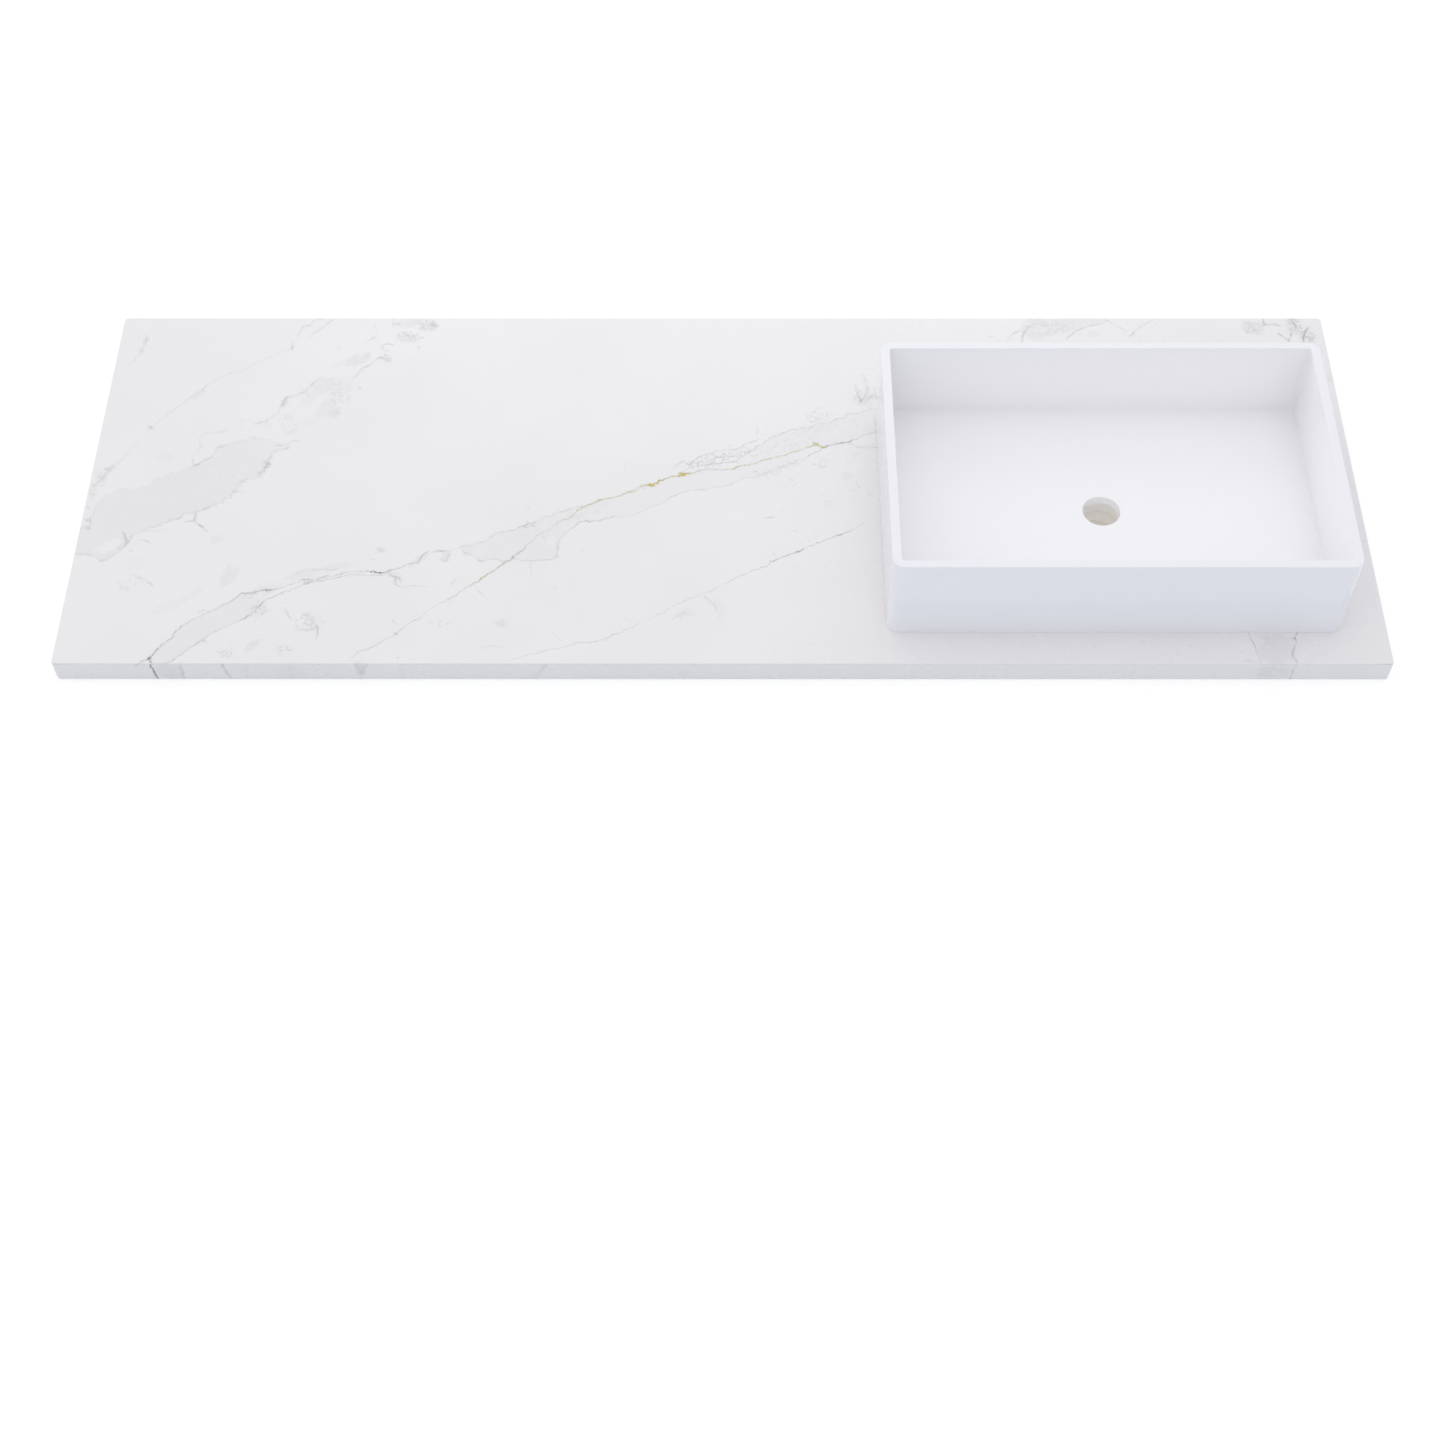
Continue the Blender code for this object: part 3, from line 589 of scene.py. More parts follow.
# Dots: place, radius and strength
DOTS = (
    (-380, 44, 3.4, .48), (-408, 170, 5.4, .36), (-417, 156, 2.2, .18), (-713, 367, 4.6, .40),
    (-662, 8, 2.8, .85), (-660, 4, 2.4, .85), (-714, 183, 3.6, .20),
    (-707, 169, 2.2, .28), (-683, 175, 2.2, .18), (-621, 335, 3.4, .20), (-538, 109, 3.0, .55),
    (-594, 263, 4.5, .18), (-585, 279, 5.0, .20), (-560, 307, 5.0, .28), (-484, 393, 4.0, .12),
    (-458, 434, 3.5, .18), (-636, 430, 2.2, .10), (-602, 378, 3.0, .12), (-421, 548, 5.0, .24),
    (-374, 545, 6.0, .24), (-389, 506, 3.0, .16), (-259, 58, 8.0, .10), (39, 295, 2.4, .20),
    (113, 306, 2.4, .20), (162, 323, 2.4, .16), (84, 280, 2.4, .16), (8, 338, 2.2, .20),
    (345, 525, 2.4, .20), (769, 499, 2.6, .16), (4, 318, 2.6, .20), (-753, 520, 3.0, .06),
    (-430, 485, 5.0, .20), (-766, 216, 4.0, .26), (-768, 272, 3.2, .20), (-755, 297, 4.4, .16),
    (-765, 204, 4.0, .30), (141, 340, 3.0, .30), (-49, 290, 2.4, .20), (-433, 176, 2.0, .08),
    (-757, 298, 4.2, .16), (-763, 286, 3.4, .18), (-759, 272, 3.0, .12), (-769, 258, 3.6, .12),
    (-770, 236, 3.0, .14), (-353, 66, 2.2, .34), (-322, 95, 2.2, .34), (-262, 148, 2.4, .30),
    (-250, 158, 2.6, .36), (-243, 165, 2.4, .30), (-421, 18, 2.0, .22), (-171, 31, 2.2, .20),
    (-461, 465, 2.2, .26), (-453, 472, 2.4, .30), (-437, 489, 2.8, .32), (-431, 493, 2.4, .28),
    (-387, 523, 3.2, .24), (-390, 507, 2.4, .18), (-602, 33, 4.0, .24), (-567, 292, 4.4, .20),
    (85, 282, 2.6, .28), (40, 295, 2.2, .34), (87, 200, 3.0, .12), (345, 525, 2.6, .28),
    (687, 536, 4.0, .22), (-600, 378, 3.4, .12), (-602, 367, 3.0, .10),
)


class Drawing:
    """Marks drawn on the stone, gathered by ink.

    Lines are shared out to tracks. A track is one course across the stone that carries several
    lines, one after another, with nothing between them. Its path, strength and width are curves.
    """

    # Directions in degrees, lengths in millimetres on the stone
    DIRECTIONS = (28, 118)
    TRAVEL_UNIT = 100
    TRACK_LENGTH = 520
    TRACK_GAP = 3
    TAPER = 2.5
    STEEPEST = 2.2
    PATCH_RAGGEDNESS = 1.5
    PATCH_EDGE = (1.15, 0.7)
    BAND_HAZE = 0.62

    def __init__(self, finish, place, ragged):
        self.finish = finish
        self.place = place
        self.ragged = ragged
        self.inks = {}
        self.turns = {}
        self.frames = []
        for degrees in self.DIRECTIONS:
            angle = math.radians(degrees)
            along = Vector((math.cos(angle), math.sin(angle)))
            across = Vector((-along.y, along.x))
            travel = finish.dot(place, (*along / self.TRAVEL_UNIT, 0))
            offset = finish.dot(place, (*across, 0))
            self.frames.append((along, across, travel, offset))

    def gather(self, ink, mask):
        """Add a mark to an ink. Where marks cross, the darker one shows."""
        held = self.inks.get(ink)
        self.inks[ink] = mask if held is None else held.or_more(mask)

    def draw(self, lines, ink):
        """Draw lines, each a (radius, taper, points), on as few tracks as they need."""
        sets = [[] for _ in self.frames]
        for radius, taper, points in lines:
            index = self.best_frame(points)
            along, across, _, _ = self.frames[index]
            for run in forward_runs(points, along):
                sets[index].append(stations(run, along, across, radius, taper, self.STEEPEST))
        for index, runs in enumerate(sets):
            for track in self.share_out(runs):
                self.draw_track(index, track, ink)

    def best_frame(self, points):
        """The frame along whose direction a line mostly runs."""
        reach = Vector(points[-1][:2]) - Vector(points[0][:2])
        lengths = [abs(along.dot(reach)) for along, _, _, _ in self.frames]
        return lengths.index(max(lengths))

    def share_out(self, runs):
        """Share runs out to tracks that none of them overlap on."""
        tracks = []
        for run in sorted(runs):
            for track in tracks:
                clear = run[0][0] - track[-1][0] >= self.TRACK_GAP
                if clear and run[-1][0] - track[0][0] <= self.TRACK_LENGTH:
                    track.extend(run)
                    break
            else:
                tracks.append(list(run))
        return tracks

    def draw_track(self, index, track, ink):
        """Draw the lines of one track."""
        _, _, travel, offset = self.frames[index]
        distance = abs(offset - self.read(travel, track, 1))
        near = (distance / self.read(travel, track, 3)).ease(1, 0)
        self.gather(ink, near * self.read(travel, track, 2))

    def read(self, travel, track, column):
        """One column of a track's stations, read off along the travel."""
        points = [(station[0] / self.TRAVEL_UNIT, station[column]) for station in track]
        return self.finish.curve(travel, points)

    def band(self, radius, raggedness, upper, lower, fill):
        """Two edge lines with haze between them."""
        along, across, travel, offset = self.frames[0]
        edges = []
        for points in (upper, lower):
            track = stations(points, along, across, radius, self.TAPER, self.STEEPEST)
            left = offset - self.read(travel, track, 1) + self.ragged * raggedness
            near = (abs(left) / self.read(travel, track, 3)).ease(1, 0)
            self.gather("grey", near * self.read(travel, track, 2))
            edges.append(left)
        fill = [(x, y, fullness * self.BAND_HAZE) for x, y, fullness in fill]
        fullness = stations(fill, along, across, radius, self.TAPER, self.STEEPEST)
        soft = raggedness / 2
        inside = edges[0].ease(soft, -soft) * edges[1].ease(-soft, soft)
        self.gather("haze", inside * self.read(travel, fullness, 2))

    def turned(self, degrees):
        """The place on the stone along and across a direction, with the raggedness as third number."""
        if degrees not in self.turns:
            angle = math.radians(degrees)
            ahead = self.finish.dot(self.place, (math.cos(angle), math.sin(angle), 0))
            aside = self.finish.dot(self.place, (-math.sin(angle), math.cos(angle), 0))
            self.turns[degrees] = self.finish.join(ahead, aside, self.ragged * self.PATCH_RAGGEDNESS)
        return self.turns[degrees]

    def patch(self, ink, x, y, half_length, half_width, turn, strength):
        """A soft oval with a ragged edge."""
        angle = math.radians(turn)
        ahead = x * math.cos(angle) + y * math.sin(angle)
        aside = y * math.cos(angle) - x * math.sin(angle)
        shrink = (1 / half_length, 1 / half_width, 1)
        shift = (-ahead / half_length, -aside / half_width, 0)
        inside = self.finish.vector("MULTIPLY_ADD", self.turned(turn), shrink, shift)
        reach = self.finish.vector("LENGTH", inside, output="Value")
        self.gather(ink, reach.ease(*self.PATCH_EDGE, 0, strength))


def forward_runs(points, along):
    """Cut a line where it turns back, so that each run only goes forward."""
    runs = []
    run = [points[0]]
    heading = 0
    for before, point in zip(points, points[1:]):
        step = along.dot(Vector(point[:2]) - Vector(before[:2]))
        if step * heading < 0:
            runs.append(run[::-1] if heading < 0 else run)
            run = [before]
        heading = step
        run.append(point)
    runs.append(run[::-1] if heading < 0 else run)
    return runs


SHORTEST_STEP = 0.5


def stations(points, along, across, radius, taper, steepest):
    """A line as (travel, offset, strength, half width) stations that fade out at both ends."""
    course = [(along.dot(Vector(p[:2])), across.dot(Vector(p[:2])), p[2]) for p in points]
    slopes = [
        (after[1] - before[1]) / max(after[0] - before[0], SHORTEST_STEP)
        for before, after in zip(course, course[1:])
    ]
    slopes = [slopes[0], *slopes, slopes[-1]]
    line = []
    for (travel, offset, strength), before, after in zip(course, slopes, slopes[1:]):
        steepness = min(math.hypot(1, (abs(before) + abs(after)) / 2), steepest)
        line.append((travel, offset, strength, radius * steepness))
    first, last = line[0], line[-1]
    line.insert(0, (first[0] - taper, first[1] - taper * slopes[0], 0, first[3]))
    line.append((last[0] + taper, last[1] + taper * slopes[-1], 0, last[3]))
    return line


DOT_CORE_SHARE = 0.35


def dot_line(x, y, radius, strength):
    """A dot, as a very short and thick line that fades out at both ends."""
    half = DOT_CORE_SHARE * radius
    return radius, radius - half, ((x - half, y, strength), (x + half, y, strength))


STONE_WHITE = (0.831, 0.822, 0.836)
STONE_PALE = (0.851, 0.838, 0.847)
STONE_GRAIN = (0.815, 0.806, 0.822)
STONE_HAZE = (0.760, 0.748, 0.762)
STONE_GREY = (0.230, 0.220, 0.250)
STONE_OLIVE = (0.480, 0.470, 0.200)
STONE_AMBER = (0.620, 0.475, 0.040)
SAWN_STONE = (0.600, 0.590, 0.575)
SAWN_SHADE = (0.520, 0.512, 0.500)
BORE_COAT = (0.865, 0.846, 0.816)
BORE_SHADE = (0.840, 0.820, 0.788)

# Sizes of the stone's texture. The wobble moves the drawn lines by up to its reach, in millimetres,
# and the raggedness runs over its spread, half of it on either side of zero
WOBBLE_SIZE = 9 * MM
WOBBLE_REACH = 4.5
RAGGED_SIZE = 10 * MM
RAGGED_SPREAD = 4
NET_SIZE = 11 * MM
SPECK_SPACING = 15 * MM
BLOTCH_SIZE = 13 * MM
ORE_SIZE = 9 * MM
MOTTLE_SIZE = 22 * MM
CLOUDY_SIZE = 160 * MM
GRAIN_SIZE = 1.6 * MM
POLISH_SIZE = 35 * MM
RELIEF_SIZE = 6 * MM
RELIEF_DEPTH = 0.01 * MM
BRUSH_SIZE = 2.2 * MM
SAW_MARK_SIZE = 1.5 * MM
BORE_REACH = (BORE_RADIUS + 0.6 * MM, BORE_RADIUS + 0.3 * MM)

# Where on the arris the pattern turns down, as a share of its radius
TURN_SHARE = 0.6


def draw_marks(finish, drawn, ragged):
    """Draw all the marks on the stone and give them by ink."""
    drawing = Drawing(finish, drawn, ragged)
    for band in BANDS.values():
        drawing.band(*band)
    for ink, veins, dots in (("grey", VEINS, DOTS), ("gold", GOLD_VEINS, GOLD_DOTS)):
        lines = [(radius, drawing.TAPER, points) for radius, points in veins.values()]
        lines += [dot_line(*dot) for dot in dots]
        drawing.draw(lines, ink)
    patches = {"haze": PATCHES, "lace": LACE_PATCHES, "specks": SPECK_PATCHES, "bare": BARE_PATCHES}
    for ink, ovals in patches.items():
        for oval in ovals:
            drawing.patch(ink, *oval)
    return drawing.inks


def veined_stone():
    """White stone with grey and gold veins that turn down over the edges."""
    finish = Finish("veined_white_stone", specular_ior_level=0.5)
    place = finish.place()
    x, y, z = finish.split(place)
    depth = TOP_HEIGHT - z

    # On the ends, front and back the pattern runs on down the face
    reach_x = abs(x) - (HALF_LENGTH - ARRIS_RADIUS)
    reach_y = abs(y) - (HALF_DEPTH - ARRIS_RADIUS)
    over_end = reach_x.ease(TURN_SHARE * ARRIS_RADIUS, ARRIS_RADIUS)
    over_side = reach_y.ease(TURN_SHARE * ARRIS_RADIUS, ARRIS_RADIUS)
    drawn_x = (x + x.sign() * depth * over_end) / MM
    drawn_y = (y + HALF_DEPTH + y.sign() * depth * over_side) / MM

    wobble = finish.noise(place, WOBBLE_SIZE, 4, 0.65, "Color")
    wobble = finish.vector(
        "MULTIPLY_ADD", wobble, (2 * WOBBLE_REACH, 2 * WOBBLE_REACH, 0), (-WOBBLE_REACH, -WOBBLE_REACH, 0),
    )
    drawn = finish.vector("ADD", finish.join(drawn_x, drawn_y), wobble)
    ragged = (finish.noise(place, RAGGED_SIZE, 4, 0.65) - 0.5) * RAGGED_SPREAD

    inks = draw_marks(finish, drawn, ragged)

    net = finish.noise(place, NET_SIZE, 2, 0.7)
    lace = abs(net - 0.5).ease(0.035, 0.008) * inks["lace"]
    spots, tint = finish.add(
        "TexVoronoi", {"feature": "F1"}, {"Vector": place, "Scale": 1 / SPECK_SPACING}, ("Distance", "Color"),
    )
    chosen, shade, _ = finish.split(tint)
    spots = spots.ease(0.16, 0.04) * (chosen > 0.72) * shade * inks["specks"]
    blotch = finish.noise(place, BLOTCH_SIZE, 4, 0.7).ease(0.34, 0.62, 0.40, 1.45)
    grey = (inks["grey"] * blotch).or_more(lace).or_more(spots)
    gold = inks["gold"] * finish.noise(place, ORE_SIZE, 3, 0.7).ease(0.36, 0.58, 0.45, 1.7)
    haze = inks["haze"] * finish.noise(place, MOTTLE_SIZE, 5, 0.65).ease(0.25, 0.75, 0.65, 1.15)

    cloudy = finish.noise(place, CLOUDY_SIZE, 3, 0.5)
    grain = finish.noise(place, GRAIN_SIZE, 2, 0.6)
    white = finish.mix(cloudy.ease(0.3, 0.7), STONE_WHITE, STONE_PALE)
    white = finish.mix(grain.ease(0.35, 0.75, 0, 0.2), white, STONE_GRAIN)
    stone = finish.mix(haze * (1 - inks["bare"]), white, STONE_HAZE)
    ore = finish.mix(inks["gold"].ease(0.4, 0.85), STONE_OLIVE, STONE_AMBER)
    stone = finish.mix(gold.or_less(1), stone, ore)
    stone = finish.mix(grey.or_less(1), stone, STONE_GREY)

    # Sawn and ground faces inside, and the coat on the bore
    inner = (0 - reach_x.or_more(reach_y)).ease(0, 0.3 * MM)
    sawn = inner * depth.ease(0.5 * MM, 1.0 * MM)
    bore = near_bore(finish, place) * depth.ease(0.2 * MM, 0.5 * MM)
    stone = finish.mix(sawn, stone, sawn_back(finish, place))
    stone = finish.mix(bore, stone, bore_coat(finish, place))

    polish = finish.noise(place, POLISH_SIZE, 3, 0.5).ease(0.3, 0.7, 0.26, 0.34)
    rough = polish + grey * 0.08 + sawn * 0.4
    finish.set(base_color=stone, roughness=rough)
    finish.bump(grain * 0.5 + finish.noise(place, RELIEF_SIZE, 2, 0.5), RELIEF_DEPTH)
    return finish.material


def near_bore(finish, place):
    """1 on the wall of the hole that is cored through the top."""
    x, y, _ = finish.split(place)
    centred = finish.join(x - DRAIN.x, y - DRAIN.y)
    reach = finish.vector("LENGTH", centred, output="Value")
    return reach.ease(*BORE_REACH)


def bore_coat(finish, place):
    """Beige sealing coat, brushed on up and down the bore."""
    streaks = finish.vector("MULTIPLY", place, (1, 1, 0.08))
    brushed = finish.noise(streaks, BRUSH_SIZE, 3, 0.6)
    return finish.mix(brushed.ease(0.35, 0.65), BORE_COAT, BORE_SHADE)


def sawn_back(finish, place):
    """Ground stone with faint parallel marks of the saw."""
    stretched = finish.vector("MULTIPLY", place, (0.05, 1, 1))
    marks = finish.noise(stretched, SAW_MARK_SIZE, 3, 0.6)
    return finish.mix(marks.ease(0.3, 0.7), SAWN_STONE, SAWN_SHADE)


# Plywood, adhesive, silicone, glue and glaze

PLY_THICKNESS = 1.5 * MM
PLY_MARGIN_SHARE = 0.05
FACE_GRAIN_SIZE = 5 * MM
EDGE_GRAIN_SIZE = 0.8 * MM
GRAIN_STRETCH = 0.06
FACE_RELIEF = 0.08 * MM
PLY_PALE = (0.640, 0.480, 0.300)
PLY_DARK = (0.470, 0.310, 0.170)
PLY_FIGURE = (0.560, 0.390, 0.225)
PLY_GLUE = (0.150, 0.080, 0.045)


def plywood(name, along):
    """Birch-like plywood whose face grain runs along X or Y; its plies show on the sawn edges."""
    finish = Finish(name, specular_ior_level=0.35)
    place = finish.place()
    _, _, z = finish.split(place)
    highest = BATTEN_THICKNESS / PLY_THICKNESS - PLY_MARGIN_SHARE
    plies = (z / PLY_THICKNESS).or_more(PLY_MARGIN_SHARE).or_less(highest)
    level = plies.fraction()
    cross = (plies * 0.5).fraction() > 0.5
    long_way = (GRAIN_STRETCH, 1, 1) if along == "X" else (1, GRAIN_STRETCH, 1)
    face = finish.noise(finish.vector("MULTIPLY", place, long_way), FACE_GRAIN_SIZE, 4, 0.6)
    edge = finish.noise(place, EDGE_GRAIN_SIZE, 2, 0.6)
    wood = finish.mix(face.ease(0.35, 0.65), PLY_PALE, PLY_FIGURE)
    wood = finish.mix(cross * edge.ease(0.3, 0.7, 0.5, 1), wood, PLY_DARK)
    seam = level.or_less(1 - level).ease(0.10, 0.03)
    half = BATTEN_THICKNESS / 2
    faces = abs(z - half).ease(half - 0.4 * MM, half - 0.2 * MM)
    wood = finish.mix(seam * (1 - faces), wood, PLY_GLUE)
    wood = finish.mix(near_bore(finish, place), wood, bore_coat(finish, place))
    finish.set(base_color=wood, roughness=face.ease(0.3, 0.7, 0.62, 0.78))
    finish.bump(face, FACE_RELIEF)
    return finish.material


ADHESIVE_PALE = (0.640, 0.610, 0.550)
ADHESIVE_SKIN = (0.540, 0.505, 0.440)
ADHESIVE_SKIN_SIZE = 9 * MM
BLISTER_SIZE = 2.4 * MM
BLISTER_DEPTH = 0.25 * MM
SILICONE_PALE = (0.78, 0.78, 0.77)
SILICONE_SHADE = (0.70, 0.70, 0.69)
SILICONE_SKIN_SIZE = 6 * MM
SILICONE_RELIEF = 0.1 * MM
FLECK_SIZE = 1.2 * MM


def cured_adhesive():
    """Foamed construction adhesive with small blisters."""
    finish = Finish("cured_adhesive", specular_ior_level=0.4)
    place = finish.place()
    blisters = finish.add(
        "TexVoronoi", {"feature": "F1"}, {"Vector": place, "Scale": 1 / BLISTER_SIZE},
    )
    skin = finish.noise(place, ADHESIVE_SKIN_SIZE, 3, 0.6)
    colour = finish.mix(skin.ease(0.3, 0.7), ADHESIVE_PALE, ADHESIVE_SKIN)
    colour = finish.mix(near_bore(finish, place), colour, bore_coat(finish, place))
    finish.set(base_color=colour, roughness=skin.ease(0.3, 0.7, 0.5, 0.65))
    finish.bump(blisters.ease(0.1, 0.6), BLISTER_DEPTH)
    return finish.material


def clear_silicone():
    """Milky sanitary silicone with a tooled, slightly uneven skin."""
    finish = Finish("clear_silicone", specular_ior_level=0.5)
    place = finish.place()
    skin = finish.noise(place, SILICONE_SKIN_SIZE, 3, 0.5)
    colour = finish.mix(skin.ease(0.3, 0.7), SILICONE_PALE, SILICONE_SHADE)
    finish.set(base_color=colour, roughness=skin.ease(0.3, 0.7, 0.25, 0.38))
    finish.bump(skin, SILICONE_RELIEF)
    return finish.material


def joint_glue():
    """Mitre glue, tinted to match the stone."""
    finish = Finish("joint_glue", specular_ior_level=0.5)
    place = finish.place()
    fleck = finish.noise(place, FLECK_SIZE, 2, 0.6)
    colour = finish.mix(fleck.ease(0.35, 0.7), STONE_PALE, STONE_HAZE)
    finish.set(base_color=colour, roughness=fleck.ease(0.3, 0.7, 0.3, 0.42))
    return finish.material


GLAZE_WHITE = (0.885, 0.886, 0.923)
GLAZE_SHADE = (0.878, 0.879, 0.916)
# Lighter copy of the glaze for the bowl's inside: painted light against the shade there
GLAZE_BOWL_PAINTED_LIGHT = (0.952, 0.946, 0.968)
GLAZE_BORDER = 1.5 * MM
GLAZE_POOL_SIZE = 90 * MM
GLAZE_FINE_SIZE = 3 * MM
GLAZE_RELIEF = 0.02 * MM


def basin_glaze():
    """Glossy white glaze, very slightly uneven; inside the bowl it is painted a little whiter, painted light
    that lifts the shade in the bowl.
    """
    finish = Finish("white_glaze", specular_ior_level=0.6)
    place = finish.place()
    x, y, z = finish.split(place)
    half = (BASIN_HIGH - BASIN_LOW) / 2
    # Mask of the bowl's inside, where the glaze is painted lighter as painted light
    beside = (half.x - abs(x - DRAIN.x)).or_less(half.y - abs(y - DRAIN.y))
    bowl = beside.ease(BASIN_WALL - GLAZE_BORDER, BASIN_WALL) * (BASIN_HIGH.z - z).ease(0, GLAZE_BORDER)
    pooled = finish.noise(place, GLAZE_POOL_SIZE, 2, 0.5)
    fine = finish.noise(place, GLAZE_FINE_SIZE, 2, 0.5)
    colour = finish.mix(pooled.ease(0.3, 0.7), GLAZE_WHITE, GLAZE_SHADE)
    colour = finish.mix(bowl, colour, GLAZE_BOWL_PAINTED_LIGHT)
    finish.set(base_color=colour, roughness=fine.ease(0.3, 0.7, 0.025, 0.045))
    finish.bump(pooled, GLAZE_RELIEF)
    return finish.material


# Modelling helpers


def add_block(name, low, high):
    """A new piece from a cube between two corners, ready in edit mode with nothing selected."""
    bpy.ops.object.select_all(action="DESELECT")
    low, high = Vector(low), Vector(high)
    bpy.ops.mesh.primitive_cube_add(size=1, location=(low + high) / 2)
    return begin_piece(name, high - low)


def add_cylinder(name, radius, low, high):
    """A new piece from an upright cylinder over the drain, ready in edit mode."""
    bpy.ops.object.select_all(action="DESELECT")
    bpy.ops.mesh.primitive_cylinder_add(
        vertices=HOLE_SEGMENTS, radius=radius, depth=high - low,
        location=(DRAIN.x, DRAIN.y, (low + high) / 2),
    )
    return begin_piece(name, (1, 1, 1))


def begin_piece(name, scale):
    """Name the object just added, bring its place and size into its mesh and open it."""
    piece = bpy.context.object
    piece.name = name
    piece.data.name = name
    piece.scale = scale
    bpy.ops.object.transform_apply(location=True, rotation=True, scale=True)
    bpy.ops.object.mode_set(mode="EDIT")
    bpy.ops.mesh.select_all(action="DESELECT")
    return piece


def select_edges(piece, test):
    """In edit mode, select only the edges that pass a test."""
    bpy.ops.mesh.select_all(action="DESELECT")
    bpy.context.tool_settings.mesh_select_mode = (False, True, False)
    bm = bmesh.from_edit_mesh(piece.data)
    for edge in bm.edges:
        edge.select_set(test(edge))
    bmesh.update_edit_mesh(piece.data)


def select_faces(piece, test):
    """In edit mode, select only the faces that pass a test."""
    bpy.ops.mesh.select_all(action="DESELECT")
    bpy.context.tool_settings.mesh_select_mode = (False, False, True)
    bm = bmesh.from_edit_mesh(piece.data)
    bm.normal_update()
    for face in bm.faces:
        face.select_set(test(face))
    bmesh.update_edit_mesh(piece.data)


def upright(edge):
    """Whether an edge runs along Z."""
    run = edge.verts[1].co - edge.verts[0].co
    return math.hypot(run.x, run.y) < TOLERANCE


def level_at(height):
    """A test for faces that lie flat at a height."""
    return lambda face: all(abs(vertex.co.z - height) < TOLERANCE for vertex in face.verts)


def round_borders(piece, height, radius, segments):
    """Round every edge around the flat faces at a height."""
    flat = level_at(height)
    select_edges(piece, lambda edge: sum(flat(face) for face in edge.link_faces) == 1)
    bpy.ops.mesh.bevel(offset=radius, segments=segments, profile=0.5, affect="EDGES")


def close_piece(piece):
    """Leave edit mode with every face outward."""
    bpy.ops.mesh.select_all(action="SELECT")
    bpy.ops.mesh.normals_make_consistent(inside=False)
    bpy.ops.object.mode_set(mode="OBJECT")


def cut(piece, cutter):
    """Cut a piece by another, which is used up."""
    modifier = piece.modifiers.new("cut", "BOOLEAN")
    modifier.operation = "DIFFERENCE"
    modifier.object = cutter
    modifier.solver = "EXACT"
    apply_modifiers(piece)
    bpy.data.objects.remove(cutter, do_unlink=True)


def activate(piece):
    """Make a piece the only selected one and the active one."""
    bpy.ops.object.select_all(action="DESELECT")
    bpy.context.view_layer.objects.active = piece
    piece.select_set(True)


def apply_modifiers(piece):
    """Apply all of a piece's modifiers."""
    activate(piece)
    for modifier in list(piece.modifiers):
        bpy.ops.object.modifier_apply(modifier=modifier.name)


def shade(piece):
    """Smooth shading that keeps flat faces flat."""
    activate(piece)
    bpy.ops.object.shade_smooth_by_angle(angle=SMOOTH_ANGLE)
    weighted = piece.modifiers.new("flat_faces", "WEIGHTED_NORMAL")
    weighted.keep_sharp = True
    apply_modifiers(piece)


def finish_piece(piece, material, slot, *nodes):
    """Give a piece its finish and its place in the frame."""
    piece.data.materials.clear()
    piece.data.materials.append(material)
    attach(piece, "root")
    if nodes:
        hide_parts(*nodes)


# The basin


def rounded_block(name, low, high, radius):
    """A block whose upright edges are rounded, left open in edit mode."""
    piece = add_block(name, low, high)
    select_edges(piece, upright)
    bpy.ops.mesh.bevel(offset=radius, segments=CORNER_SEGMENTS, profile=0.5, affect="EDGES")
    return piece


def make_foot_recess():
    """Cutter for the shallow recess inside the foot, with a boss left round the drain."""
    bottom = BASIN_LOW.z
    low = BASIN_LOW + Vector((FOOT_WIDTH, FOOT_WIDTH, -CUT_OVERRUN))
    high = Vector((BASIN_HIGH.x - FOOT_WIDTH, BASIN_HIGH.y - FOOT_WIDTH, TOP_HEIGHT + RECESS_DEPTH))
    recess = rounded_block("foot_recess", low, high, FOOT_CORNER_RADIUS)
    close_piece(recess)
    boss = add_cylinder(
        "drain_boss", DRAIN_BOSS_RADIUS, bottom - 2 * CUT_OVERRUN, bottom + 2 * CUT_OVERRUN,
    )
    close_piece(boss)
    cut(recess, boss)
    return recess


def make_drain_cutter():
    """Cutter for the drain hole, flared at the top so that the hole's edge is rounded."""
    floor = TOP_HEIGHT + BASIN_FLOOR
    start = floor - DRAIN_EASING
    cutter = add_cylinder("drain_cutter", DRAIN_RADIUS, BASIN_LOW.z - CUT_OVERRUN, start)
    select_faces(cutter, level_at(start))
    radius = DRAIN_RADIUS
    height = start
    for step in range(1, EASING_SEGMENTS + 1):
        angle = math.radians(90) * step / EASING_SEGMENTS
        next_radius = DRAIN_RADIUS + DRAIN_EASING * (1 - math.cos(angle))
        next_height = start + DRAIN_EASING * math.sin(angle)
        extrude_and_scale(next_height - height, next_radius / radius)
        radius = next_radius
        height = next_height
    extrude_and_scale(CUT_OVERRUN, 1)
    close_piece(cutter)
    return cutter


def extrude_and_scale(rise, scale):
    """Extrude the selected faces upward and scale them about the drain's axis."""
    bpy.ops.mesh.extrude_region_move(TRANSFORM_OT_translate={"value": (0, 0, rise)})
    bpy.ops.transform.resize(value=(scale, scale, 1), center_override=(DRAIN.x, DRAIN.y, 0))


